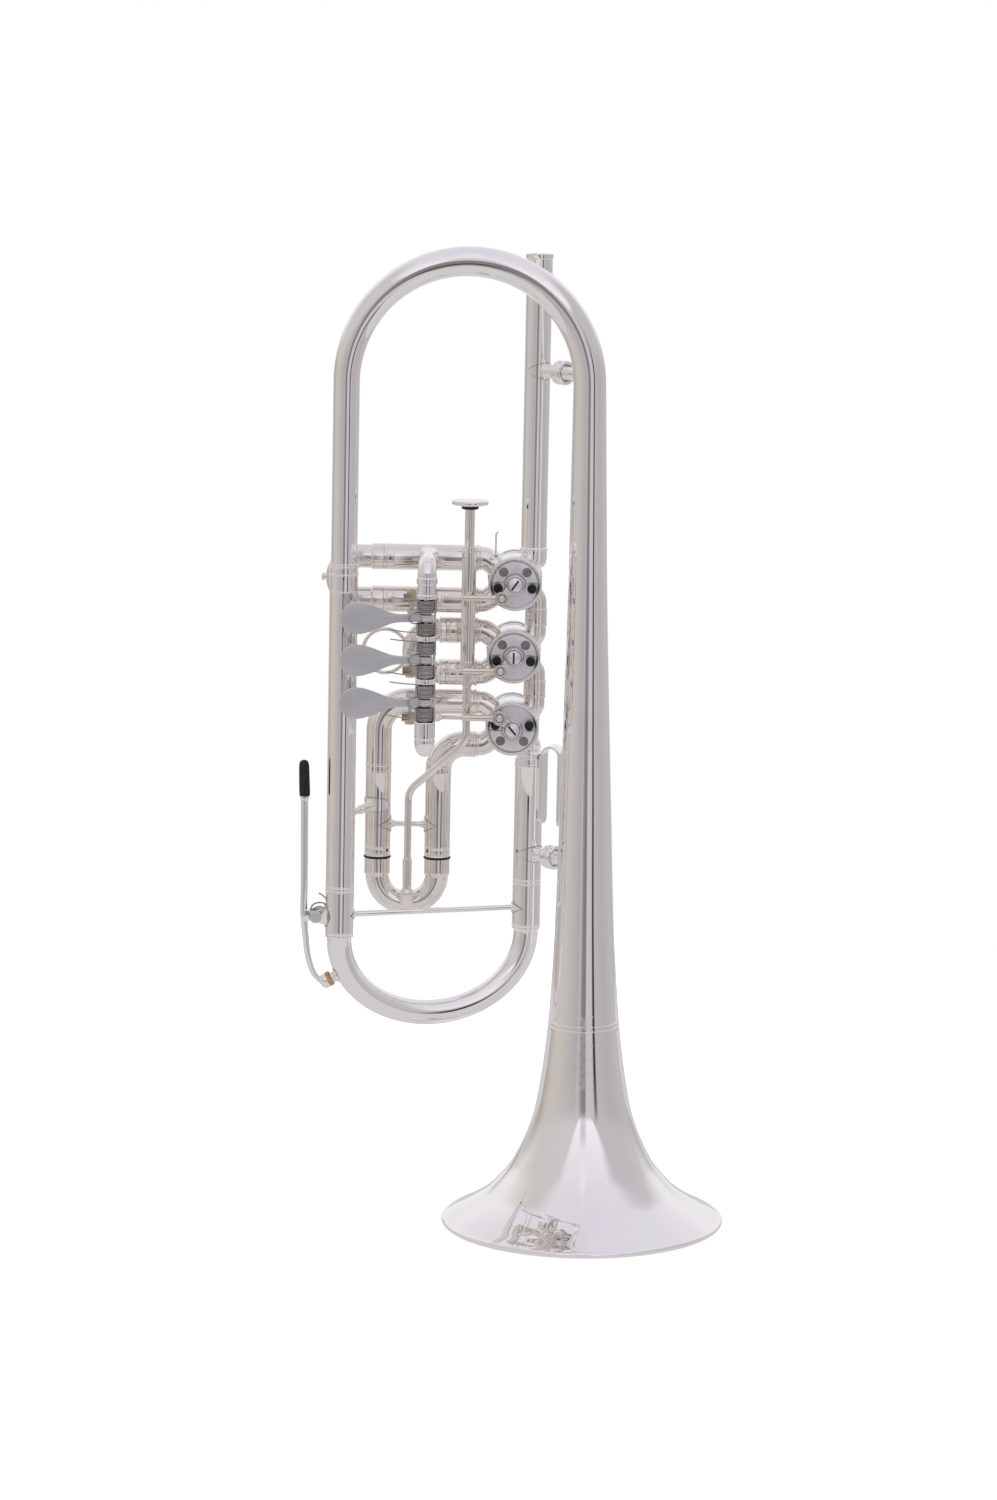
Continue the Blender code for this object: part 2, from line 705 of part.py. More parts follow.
def build_knuckle(number):
    """The short curved tube between one valve and the next."""
    side_u = -31.2
    top = VALVE_W[number]
    low = VALVE_W[number + 1]
    corners = [
        port_start(number, -30), uvw(side_u, PORT_V, top - 10.2), uvw(side_u, PORT_V, low + 10.2),
        port_start(number + 1, 30),
    ]
    points = bent_path(corners, [6.0, 6.0])
    length = sum((b - a).length for a, b in zip(points, points[1:]))
    middle = length / 2
    outer = raised_rings(length, 5.6, [(middle - 4.5, middle + 4.5, 6.1)])
    mesh = pipe_mesh(points, outer, [(0, 4.8), (length, 4.8)], ROD_SIDES)
    knuckle = add_object(f"knuckle_{number + 1}_{number + 2}", mesh, "silver")
    trim_by_casings(knuckle, [number, number + 1])


# ---------------------------------------------------------------- valve slides

def leg_profiles(length):
    outer = [(0, 5.7), (9, 6.0), (11, LEG_OUT), (length - 3.2, LEG_OUT), (length - 3.0, LEG_OUT + 0.4)]
    inner = [(0, 4.9), (10, 5.1), (13, LEG_IN), (length, LEG_IN)]
    return outer, inner


def build_straight_leg(name, number, side, seam_u):
    rise = VALVE_W[number] + side * PORT_RISE
    corners = [
        port_start(number, 180 - side * 35), uvw(-58.5, PORT_V, rise), uvw(seam_u + GAP / 2, PORT_V, rise),
    ]
    points = bent_path(corners, [7.0])
    length = sum((b - a).length for a, b in zip(points, points[1:]))
    outer, inner = leg_profiles(length)
    leg = add_object(name, pipe_mesh(points, outer, inner, SMALL_SIDES), "silver")
    trim_by_casings(leg, [number])


def build_bent_leg(name, side, leg_u, bend):
    """One fixed leg of the third slide: out of the valve and round the corner downwards."""
    rise = VALVE_W[2] + side * PORT_RISE
    corners = [
        port_start(2, 180 - side * 35), uvw(-58.5, PORT_V, rise), uvw(leg_u, PORT_V, rise),
        uvw(leg_u, PORT_V, SLIDE3_SEAM_W + GAP / 2),
    ]
    points = bent_path(corners, [6.0, bend])
    length = sum((b - a).length for a, b in zip(points, points[1:]))
    outer, inner = leg_profiles(length)
    leg = add_object(name, pipe_mesh(points, outer, inner, SMALL_SIDES), "silver")
    trim_by_casings(leg, [2])


def slide_profiles(length, tongue, ferrule):
    """Thin tongue inside the sleeve, full ferrule outside it, then the bow, and back."""
    start = [(0, TONGUE_OUT), (tongue, TONGUE_OUT), (tongue + 0.1, LEG_OUT), (tongue + ferrule, LEG_OUT)]
    start.append((tongue + ferrule + 0.5, TONGUE_OUT + 0.1))
    back = [(length - distance, radius) for distance, radius in reversed(start)]
    return start + back, [(0, TONGUE_IN), (length, TONGUE_IN)]


def horizontal_bow_mesh(number, seam_u, bow_u, tongue, ferrule):
    top = VALVE_W[number] + PORT_RISE
    low = VALVE_W[number] - PORT_RISE
    start_u = seam_u - GAP / 2 + tongue
    end_u = bow_u - PORT_RISE
    corners = [
        uvw(start_u, PORT_V, top), uvw(end_u, PORT_V, top),
        uvw(end_u, PORT_V, low), uvw(start_u, PORT_V, low),
    ]
    points = bent_path(corners, [PORT_RISE - 0.01, PORT_RISE - 0.01])
    length = sum((b - a).length for a, b in zip(points, points[1:]))
    outer, inner = slide_profiles(length, tongue, ferrule)
    return pipe_mesh(points, outer, inner, SMALL_SIDES)


def build_slide1_bow():
    mesh = horizontal_bow_mesh(0, SLIDE1_SEAM_U, SLIDE1_BOW_U, 34, 6)
    middle = uvw(SLIDE1_BOW_U, PORT_V, VALVE_W[0])
    knob = rod_mesh(middle - uvw(16.5, 0, 0), middle - uvw(19.3, 0, 0), 2.2)
    joined("slide1_bow", [mesh, knob], "silver", "slide1")


def build_slide2_bow():
    """The short second slide with its pull ring on a stem."""
    mesh = horizontal_bow_mesh(1, SLIDE2_SEAM_U, SLIDE2_BOW_U, 14, 3.5)
    centre = uvw(RING_U, PORT_V, VALVE_W[1] - 0.6)
    ring = lathe_mesh(bead_profile(RING_RADIUS, RING_WIRE, 0), centre, Vector((0, 1, 0)), VALVE_SIDES)
    stem_end = uvw(SLIDE2_BOW_U - 17.0, PORT_V, centre.z)
    stem = rod_mesh(centre + uvw(RING_RADIUS, 0, 0), stem_end, 1.3, ROD_SIDES)
    joined("slide2_bow_with_ring", [mesh, ring, stem], "silver", "slide2")


def build_slide3_bow():
    left = uvw(SLIDE3_LEFT_U, PORT_V, 0)
    right = uvw(SLIDE3_RIGHT_U, PORT_V, 0)
    half = (SLIDE3_RIGHT_U - SLIDE3_LEFT_U) / 2
    tongue = 38
    top = uvw(0, 0, SLIDE3_SEAM_W - GAP / 2 + tongue)
    bottom = uvw(0, 0, SLIDE3_BOW_W - half)
    points = bent_path([left + top, left + bottom, right + bottom, right + top], [half - 0.01, half - 0.01])
    length = sum((b - a).length for a, b in zip(points, points[1:]))
    outer, inner = slide_profiles(length, tongue, 9.5)
    mesh = pipe_mesh(points, outer, inner, SMALL_SIDES)
    add_object("slide3_bow", mesh, "silver", "slide3")


def build_slide3_brace():
    start = uvw(SLIDE3_LEFT_U + LEG_OUT + GAP, PORT_V, 211.5)
    length = SLIDE3_RIGHT_U - SLIDE3_LEFT_U - 2 * (LEG_OUT + GAP)
    middle = length / 2
    profile = [
        (0, 0), (3.6, 0), (3.6, 0.8), (1.3, 4.0), (1.3, middle - 1.5), (2.0, middle - 1), (2.0, middle + 1),
        (1.3, middle + 1.5), (1.3, length - 4.0), (3.6, length - 0.8), (3.6, length), (0, length),
    ]
    add_object("slide3_brace", lathe_mesh(profile, start, Vector((1, 0, 0)), SMALL_SIDES), "silver")


# ---------------------------------------------------------------- third-slide trigger

def build_trigger_guide():
    """Guide tube with a bottom lip and two posts to the slide legs behind it."""
    origin = uvw(TRIGGER_U, TRIGGER_V, 0)
    profile = [
        (2.3, GUIDE_LOW), (GUIDE_OUT, GUIDE_LOW), (GUIDE_OUT, GUIDE_HIGH - 2.2),
        (GUIDE_OUT + 0.5, GUIDE_HIGH - 2), (GUIDE_OUT + 0.5, GUIDE_HIGH), (GUIDE_IN, GUIDE_HIGH),
        (GUIDE_IN, GUIDE_LOW + 1.2), (2.3, GUIDE_LOW + 1.2),
    ]
    meshes = [lathe_mesh(profile, origin, Vector((0, 0, 1)))]
    for height in (VALVE_W[0] + PORT_RISE, VALVE_W[1] + PORT_RISE):
        start = uvw(TRIGGER_U, TRIGGER_V + GUIDE_IN + 0.3, height)
        end = uvw(TRIGGER_U, PORT_V - LEG_OUT - GAP, height)
        meshes.append(rod_mesh(start, end, 2.0))
    joined("trigger_guide", meshes, "silver")


def build_trigger_rod():
    """Piston, lower rod with its collar, the crank across to the slide, and the ball."""
    ball_v = 21.3
    low_u = -97.8
    corners = [
        uvw(TRIGGER_U, TRIGGER_V, BUTTON_TOP_W - 3.6), uvw(TRIGGER_U, TRIGGER_V, 258.5),
        uvw(low_u, ball_v, 230.5), uvw(low_u, ball_v, 173.4),
    ]
    points = bent_path(corners, [5.0, 5.0])
    length = sum((b - a).length for a, b in zip(points, points[1:]))
    top = BUTTON_TOP_W - 3.6
    outer = [(0, 2.65), (top - 330, 2.65), (top - 329.6, 2.05), (top - 290.3, 2.05), (top - 290, 2.6)]
    outer += [(top - 278, 2.6), (top - 277.7, 2.05)]
    outer += [(length - 12, 1.7), (length - 11.5, 2.3), (length - 1, 2.3)]
    rod = pipe_mesh(points, outer, sides=SMALL_SIDES)
    profile = [(0, -4.0)]
    for degrees in range(-60, 61, 30):
        angle = math.radians(degrees)
        profile.append((4.0 * math.cos(angle), 4.0 * math.sin(angle)))
    profile.append((0, 4.0))
    centre = uvw(low_u, ball_v, 174.3)
    ball = lathe_mesh(profile, centre, Vector((0, 1, 0)), SMALL_SIDES)
    bow_bottom = uvw(low_u, PORT_V, SLIDE3_BOW_W - (SLIDE3_RIGHT_U - SLIDE3_LEFT_U) / 2)
    toward = (bow_bottom - centre).normalized()
    foot = rod_mesh(centre, bow_bottom - toward * (TONGUE_OUT + 0.2 + GAP), 2.2)
    joined("trigger_rod", [rod, ball, foot], "silver", "slide3")


def build_trigger_button():
    origin = uvw(TRIGGER_U, TRIGGER_V, 0)
    low = BUTTON_TOP_W - 3.3
    profile = [
        (0, low), (3.0, low), (4.3, low + 1.6), (9.2, low + 1.9),
        (10.0, low + 2.4), (10.0, low + 2.9), (9.3, low + 3.3), (0, low + 3.3),
    ]
    mesh = lathe_mesh(profile, origin, Vector((0, 0, 1)), VALVE_SIDES)
    add_object("trigger_button", mesh, "silver", "slide3")


def build_trigger_spring():
    """The return spring in the guide tube, drawn as the sleeve that its coils fill."""
    profile = [(2.3, SPRING_LOW), (2.7, SPRING_LOW), (2.7, SPRING_HIGH), (2.3, SPRING_HIGH)]
    mesh = lathe_mesh(profile, uvw(TRIGGER_U, TRIGGER_V, 0), Vector((0, 0, 1)), SMALL_SIDES)
    add_object("trigger_spring", mesh, "steel")


# ---------------------------------------------------------------- finger levers

def paddle_outline():
    """A teardrop: round tip, widest near it, drawn in to the neck. x runs out from the axle."""
    tip_radius = 8.7
    neck = 2.2
    reach = 45.4
    centre = reach - tip_radius
    outline = []
    for index in range(9):
        angle = math.radians(-90 + 180 * index / 8)
        outline.append((centre + tip_radius * math.cos(angle), tip_radius * math.sin(angle)))
    flank = []
    for index in range(1, 7):
        share = index / 6
        width = neck + (tip_radius - neck) * (0.5 + 0.5 * math.cos(math.pi * share))
        flank.append((centre - 25 * share, width))
    flank.append((2.6, neck))
    return outline + flank + [(x, -y) for x, y in reversed(flank)]


def build_lever(number):
    body = f"lever{number + 1}"
    height = LEVER_W[number]
    origin = uvw(AXLE_U, AXLE_V, height)
    half = COLLAR_H / 2
    bore = AXLE_R + 0.15
    ring = [(bore, -half), (COLLAR_R, -half), (COLLAR_R, half), (bore, half)]
    collar = lathe_mesh(ring, origin, Vector((0, 0, 1)))
    out = Vector((-math.cos(PADDLE_TILT), -math.sin(PADDLE_TILT), 0))
    face = out.cross(Vector((0, 0, 1)))
    place = placed_along(origin, out, Vector((0, 0, 1)), face)
    paddle = plate_mesh(paddle_outline(), place, 1.8)
    back = Vector((-math.sin(LEVER_REST), math.cos(LEVER_REST), 0))
    side = Vector((0, 0, 1)).cross(back)
    tip = LEVER_REACH
    arm_outline = [
        (2.6, -2.0), (tip, -1.7), (tip + 1.4, -1.2), (tip + 1.9, 0),
        (tip + 1.4, 1.2), (tip, 1.7), (2.6, 2.0),
    ]
    arm = plate_mesh(arm_outline, placed_along(origin, back, side, Vector((0, 0, 1))), 2.8)
    link_w = BALLS[number].z
    away = 1 if link_w > height else -1
    pin_foot = origin + back * tip
    pin_end = uvw(pin_foot.x, pin_foot.y, link_w + away * 2.15)
    pin = rod_mesh(pin_foot, pin_end, 1.0, ROD_SIDES)
    joined(f"finger_lever_{number + 1}", [collar, paddle, arm, pin], "satin", body)


def build_link(number):
    """Push rod from the ball on the stop arm to the loose eye on the lever pin."""
    body = f"link{number + 1}"
    ball = BALLS[number]
    ring = [(2.5, -1.9), (3.7, -1.9), (3.7, 1.9), (2.5, 1.9)]
    eye = lathe_mesh(ring, ball, Vector((0, 1, 0)), VALVE_SIDES)
    pin = uvw(LEVER_PIN_U, LINK_V, ball.z)
    span = ball.x - pin.x
    shank = [
        (0, 3.0), (1.7, 3.0), (1.7, 20.0), (1.1, 20.4),
        (1.1, span - 16.0), (2.2, span - 14.5), (2.2, span - 3.6), (0, span - 3.6),
    ]
    rod = lathe_mesh(shank, ball, Vector((-1, 0, 0)), ROD_SIDES)
    block = box_mesh(pin - uvw(4.2, 3.1, 2.15), pin + uvw(4.2, 3.1, 2.15))
    away = 1 if ball.z > LEVER_W[number] else -1
    nut = rod_mesh(pin + uvw(0, 0, away * 1.8), pin + uvw(0, 0, away * 4.0), 2.9, 6)
    link = joined(f"valve_link_{number + 1}", [eye, rod, block, nut], "steel", body)
    bore = rod_mesh(pin - uvw(0, 0, 6), pin + uvw(0, 0, 6), 1.95)
    combine(link, [add_helper(f"valve_link_{number + 1}_bore", bore, body)], "DIFFERENCE")


def build_lever_spring(number):
    """Two coils, one each side of the lever, joined by the loop that passes it."""
    collar_low = LEVER_W[number] - COLLAR_H / 2 - 0.5
    collar_high = LEVER_W[number] + COLLAR_H / 2 + 0.5
    ends = [TROUGH_HIGH - 3.2] + [post - POST_H / 2 for post in POST_W]
    floors = [post + POST_H / 2 for post in POST_W] + [TROUGH_LOW + 9]
    high = ends[number] - 0.4
    low = floors[number] + 0.4
    origin = uvw(AXLE_U, AXLE_V, 0)
    meshes = []
    for bottom, top in ((collar_high, high), (low, collar_low)):
        profile = [(2.2, bottom), (4.1, bottom), (4.1, top), (2.2, top)]
        meshes.append(lathe_mesh(profile, origin, Vector((0, 0, 1))))
    loop_low = (AXLE_U + 3.85, AXLE_V - 0.5, collar_low - 1.5)
    loop_high = (AXLE_U + 4.4, AXLE_V + 0.5, collar_high + 1.5)
    meshes.append(box_mesh(loop_low, loop_high))
    joined(f"lever_spring_{number + 1}", meshes, "steel")


def build_axle():
    low = uvw(AXLE_U, AXLE_V, AXLE_LOW)
    high = uvw(AXLE_U, AXLE_V, AXLE_HIGH)
    add_object("lever_axle", rod_mesh(low, high, AXLE_R), "steel")


def trough_mesh():
    """Half-round channel behind the axle."""
    outline = []
    for radius, angles in ((TROUGH_OUT, range(-88, 89, 44)), (TROUGH_IN, range(88, -89, -44))):
        for degrees in angles:
            angle = math.radians(degrees)
            outline.append((radius * math.sin(angle), radius * math.cos(angle)))
    place = Matrix.Translation(uvw(AXLE_U, AXLE_V, (TROUGH_LOW + TROUGH_HIGH) / 2))
    return plate_mesh(outline, place, TROUGH_HIGH - TROUGH_LOW)


def build_saddle():
    """Channel with bearing posts, turned ends, and the two arms that carry it on the slide legs."""
    origin = uvw(AXLE_U, AXLE_V, 0)
    up = Vector((0, 0, 1))
    bore = AXLE_R + 0.15
    meshes = [trough_mesh()]
    for post in POST_W:
        low = post - POST_H / 2
        high = post + POST_H / 2
        ring = [(bore, low), (TROUGH_OUT, low), (TROUGH_OUT, high), (bore, high)]
        meshes.append(lathe_mesh(ring, origin, up, SMALL_SIDES))
    lower = [
        (0, 256.5), (4.0, 258.0), (5.4, 263.0), (5.4, 275.0), (bore, 275.0),
        (bore, AXLE_LOW - GAP), (0, AXLE_LOW - GAP),
    ]
    meshes.append(lathe_mesh(lower, origin, up, SMALL_SIDES))
    upper = [
        (bore, 340.0), (5.4, 340.0), (5.4, 343.5), (4.9, 343.5), (4.9, ARM_W), (0, ARM_W),
        (0, AXLE_HIGH + GAP), (bore, AXLE_HIGH + GAP),
    ]
    meshes.append(lathe_mesh(upper, origin, up, SMALL_SIDES))
    leg_front = PORT_V - LEG_OUT - GAP
    corners = [
        uvw(AXLE_U, AXLE_V, ARM_W - 7.0), uvw(AXLE_U, AXLE_V, ARM_W), uvw(AXLE_U, leg_front, ARM_W),
    ]
    top_arm = bent_path(corners, [5.2], math.radians(30))
    meshes.append(pipe_mesh(top_arm, [(0, 4.95), (100, 4.95)], sides=SMALL_SIDES))
    meshes.append(rod_mesh(uvw(AXLE_U, AXLE_V, 261.2), uvw(AXLE_U, 24.0, 261.2), 3.4, ROD_SIDES))
    meshes.append(box_mesh((AXLE_U - 3.4, 22.2, 259.0), (AXLE_U + 3.4, leg_front, 281.0)))
    saddle = joined("lever_saddle", meshes, "silver")
    windows = []
    for number, height in enumerate(LEVER_W):
        low = (AXLE_U - 8, AXLE_V - 1.5, height - 2.4)
        high = (AXLE_U + 3.4, AXLE_V + 8, height + 2.4)
        windows.append(add_helper(f"saddle_window_{number}", box_mesh(low, high)))
    combine(saddle, windows, "DIFFERENCE")


# ---------------------------------------------------------------- braces, hook, water key

def build_bell_brace(name, height, tube_clear, bell_radius):
    """From the port-plane tube to the bell, with a turned disc in its middle."""
    start_axis = uvw(LEAD_U, PORT_V, height)
    end_axis = uvw(-height * math.tan(LEAN), 0, height)
    along = (end_axis - start_axis).normalized()
    start = start_axis + along * (tube_clear + GAP)
    length = (end_axis - start_axis).length - tube_clear - bell_radius - 2 * GAP
    disc = length * 0.55
    profile = [
        (0, 0), (5.2, 0), (4.6, 1.0), (3.2, 2.2), (3.2, disc - 4),
        (6.2, disc - 3.6), (6.7, disc - 2.6), (5.0, disc - 0.6), (6.7, disc + 1.0), (6.2, disc + 2.6),
        (4.0, disc + 3.2), (2.4, length - 2.0), (4.0, length), (0, length),
    ]
    add_object(name, lathe_mesh(profile, start, along, SMALL_SIDES), "silver")


def build_finger_hook():
    """A flat strap bent into an upside-down U, standing on the valve exit tube."""
    angle = math.radians(20)
    out = Vector((math.cos(angle), -math.sin(angle), 0))
    radius = 5.6
    thick = 1.3
    low = 213.0
    arc_w = 250.0
    inner = []
    outer = []
    for index in range(9):
        turn = math.pi * (1 - index / 8)
        inner.append(((radius - thick) * math.cos(turn), arc_w + (radius - thick) * math.sin(turn)))
        outer.append((radius * math.cos(turn), arc_w + radius * math.sin(turn)))
    outline = [(-radius, low)] + outer + [(radius, low), (radius - thick, low)]
    outline += inner[::-1] + [(thick - radius, low)]
    centre = uvw(EXIT_U, PORT_V, 0) + out * (SLEEVE_OUT + GAP + radius)
    up = Vector((0, 0, 1))
    place = placed_along(centre, out, up, out.cross(up))
    hook = plate_mesh(outline, place, 10.0)
    add_object("finger_hook", hook, "silver")


def build_water_key():
    """Long arm that passes left of the pivot, with a rubber tip above and the cork cup below."""
    pivot = uvw(KEY_U, 0, KEY_W)
    points = [
        KEY_TIP_FOOT, uvw(-152.2, 0, 176.0), uvw(-152.2, 0, 165.8), uvw(-151.1, 0, 153.6),
        uvw(-149.7, 0, 143.3), uvw(-146.8, 0.6, 134.4), NIPPLE_ROOT + NIPPLE_AXIS * 14.4,
    ]
    length = sum((b - a).length for a, b in zip(points, points[1:]))
    outer = [(0, 2.3), (length - 40, 1.9), (length, 1.6)]
    arm = pipe_mesh(points, outer, sides=ROD_SIDES)
    sleeve = [(1.3, -3.2), (3.0, -3.2), (3.0, 3.2), (1.3, 3.2)]
    barrel = lathe_mesh(sleeve, pivot, Vector((0, 1, 0)), SMALL_SIDES)
    lug = box_mesh((-152.2, -1.5, KEY_W - 2.4), (KEY_U - 2.0, 1.5, KEY_W + 2.4))
    cup = rod_mesh(NIPPLE_ROOT + NIPPLE_AXIS * 11.9, NIPPLE_ROOT + NIPPLE_AXIS * 15.8, 3.9)
    key = joined("water_key_lever", [arm, barrel, lug, cup], "silver", "water_key")
    bore = rod_mesh(pivot - uvw(0, 5, 0), pivot + uvw(0, 5, 0), 1.3, ROD_SIDES)
    combine(key, [add_helper("water_key_bore", bore, "water_key")], "DIFFERENCE")
    cork = rod_mesh(NIPPLE_ROOT + NIPPLE_AXIS * 9.3, NIPPLE_ROOT + NIPPLE_AXIS * 11.6, 4.0)
    add_object("water_key_cork", cork, "cork", "water_key")
    tip = [(0, GAP), (2.9, GAP), (2.7, 18.5), (1.6, 19.4), (0, 19.4)]
    mesh = lathe_mesh(tip, KEY_TIP_FOOT, uvw(-0.6, 0, 19.0), SMALL_SIDES)
    add_object("water_key_tip", mesh, "rubber", "water_key")


def build_water_key_saddle():
    """Foot on the slide ferrule, two cheeks and the pin that the key turns on."""
    foot_u = LEFT_U - SLEEVE_OUT - GAP
    meshes = [box_mesh((foot_u - 1.2, -4.8, KEY_W - 5), (foot_u, 4.8, KEY_W + 5))]
    for side in (-1, 1):
        low = (KEY_U - 2.4, min(side * 3.5, side * 4.8), KEY_W - 2.4)
        high = (foot_u - 0.4, max(side * 3.5, side * 4.8), KEY_W + 2.4)
        meshes.append(box_mesh(low, high))
    meshes.append(rod_mesh(uvw(KEY_U, -5.4, KEY_W), uvw(KEY_U, 5.4, KEY_W), 1.05, ROD_SIDES))
    joined("water_key_saddle", meshes, "silver", "tuning")


def main():
    build_bell()
    build_rim_ring()
    build_bell_bow()
    build_left_sleeve()
    build_exit_tube()
    build_leadpipe()
    build_receiver()
    build_tuning_slide()
    for number in range(3):
        build_casing(number)
        build_rotor(number)
        build_stop_plate(number)
        build_valve_cap(number)
        build_stop_arm(number)
        build_stop_screw(number)
        build_lever(number)
        build_link(number)
        build_lever_spring(number)
    build_knuckle(0)
    build_knuckle(1)
    for number, seam in ((0, SLIDE1_SEAM_U), (1, SLIDE2_SEAM_U)):
        build_straight_leg(f"slide{number + 1}_upper_sleeve", number, 1, seam)
        build_straight_leg(f"slide{number + 1}_lower_sleeve", number, -1, seam)
    build_bent_leg("slide3_upper_sleeve", 1, SLIDE3_LEFT_U, 16.0)
    build_bent_leg("slide3_lower_sleeve", -1, SLIDE3_RIGHT_U, 14.0)
    build_slide1_bow()
    build_slide2_bow()
    build_slide3_bow()
    build_slide3_brace()
    build_trigger_guide()
    build_trigger_rod()
    build_trigger_button()
    build_trigger_spring()
    build_axle()
    build_saddle()
    build_bell_brace("upper_bell_brace", 456.5, BOW_TUBE, 9.3)
    build_bell_brace("lower_bell_brace", 196.3, SLEEVE_OUT, 15.2)
    build_finger_hook()
    build_water_key()
    build_water_key_saddle()


main()
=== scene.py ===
"""Looks of the rotary-valve flugelhorn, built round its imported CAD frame.

Shapes are drawn in millimetres in the tube frame: U across the tubes, V back from the finger
levers, W along the tubes. The tube frame leans a little from the upright bell axis.
"""

import math

import bmesh
import bpy
from mathutils import Matrix, Quaternion, Vector


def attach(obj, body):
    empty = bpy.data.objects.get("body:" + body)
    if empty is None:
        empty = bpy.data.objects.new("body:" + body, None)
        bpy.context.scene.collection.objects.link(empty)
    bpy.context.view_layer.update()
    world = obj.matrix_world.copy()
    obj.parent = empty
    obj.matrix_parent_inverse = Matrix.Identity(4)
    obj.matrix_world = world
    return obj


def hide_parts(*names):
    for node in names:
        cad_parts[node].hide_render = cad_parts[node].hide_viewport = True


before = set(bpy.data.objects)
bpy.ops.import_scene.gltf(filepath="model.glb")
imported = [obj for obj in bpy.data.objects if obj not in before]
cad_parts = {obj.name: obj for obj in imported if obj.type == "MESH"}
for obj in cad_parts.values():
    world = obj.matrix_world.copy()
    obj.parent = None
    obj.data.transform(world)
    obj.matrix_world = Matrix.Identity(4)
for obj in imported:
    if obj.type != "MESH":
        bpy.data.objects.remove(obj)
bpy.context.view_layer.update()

MM = 0.001
LEAN = math.radians(0.74)
BELL_AXIS_X = 38.57
STAND = Matrix.Translation((BELL_AXIS_X * MM, 0, 0)) @ Matrix.Scale(MM, 4)
TUBES = Matrix.Translation((BELL_AXIS_X * MM, 0, 0)) @ Matrix.Rotation(LEAN, 4, "Y") @ Matrix.Scale(MM, 4)

UP = Vector((0, 0, 1))
BACK = Vector((0, 1, 0))
RIGHT = Vector((1, 0, 0))

GAP = 0.3
BOW_W = 451.0
BOW_RADIUS = 63.7
BOW_U = -69.5
LEFT_U = BOW_U - BOW_RADIUS
LEAD_U = -33.1
EXIT_U = -33.2
PORT_V = 32.0
BRANCH_END_W = 355.3
SLIDE_SEAM_W = 179.0
FERRULE_END_W = 153.0
BOW_DEPTH = 42.5
TUNING_LEG = 62.0
CROSS_ROD_W = 166.3
SLEEVE_OUT = 7.6
SLEEVE_IN = 6.95
INNER_OUT = 6.75
INNER_IN = 6.0

VALVE_U = -42.8
VALVE_W = [344.2 - 38.95 * k for k in range(3)]
STOP_SIDE = [-1, -1, 1]
PORT_RISE = 11.4
CASING_R = 14.0
CRANK_R = 9.8
CRANK = CRANK_R * math.cos(math.radians(45))
LINK_V = 5.0

AXLE_U = -89.0
AXLE_R = 1.6
LEVER_W = [329.9, 307.8, 285.2]
LEVER_REACH = 29.0
LEVER_REST = math.radians(17.04)
AXLE_V = LINK_V - LEVER_REACH * (1 + math.cos(LEVER_REST)) / 2
PADDLE_TILT = math.radians(11)
POST_W = [319.2, 296.5]
TROUGH_LOW = 266.0
TROUGH_HIGH = 343.2
ARM_W = 357.0

LEG_OUT = 6.9
LEG_IN = 6.35
TONGUE_OUT = 6.15
TONGUE_IN = 5.5
SLIDE1_SEAM_U = -113.0
SLIDE1_BOW_U = -126.4
SLIDE2_SEAM_U = -79.0
SLIDE2_BOW_U = -85.0
SLIDE3_LEFT_U = -114.3
SLIDE3_RIGHT_U = -82.0
SLIDE3_SEAM_W = 193.0
SLIDE3_BOW_W = 183.25
RING_U = -111.8
RING_RADIUS = 11.8

TRIGGER_U = -67.4
TRIGGER_V = 13.0
BUTTON_TOP_W = 388.6
GUIDE_LOW = 300.0
GUIDE_HIGH = 363.6

SEAM = 0.04
LEFT_BRACE_W = [219.4, 221.6]
SLIDE3_BRACE_W = 210.6
SLIDE3_FERRULE_W = 239.5
LEADPIPE_TOP_W = 479.7
LEADPIPE_RING_W = 354.5
RECEIVER_TOP_W = 518.0
LEG_STRAIGHT_U = -58.5
KNUCKLE_U = -31.2
TRIGGER_LOW_U = -97.8
TRIGGER_BALL_V = 21.3
GROOVE_W = [111.0, 108.4]

KEY_U = -145.7
KEY_W = 165.8
KEY_TIP_FOOT = Vector((-152.5, 0, 230.2))
NIPPLE_ROOT = Vector((-128.9, 1.5, 135.7))
NIPPLE_AXIS = Vector((-0.886, 0, -0.464))


def uvw(u, v, w):
    return Vector((u, v, w))


BALLS = [uvw(VALVE_U - CRANK, LINK_V, VALVE_W[k] + STOP_SIDE[k] * CRANK) for k in range(3)]


# ---------------------------------------------------------------- materials

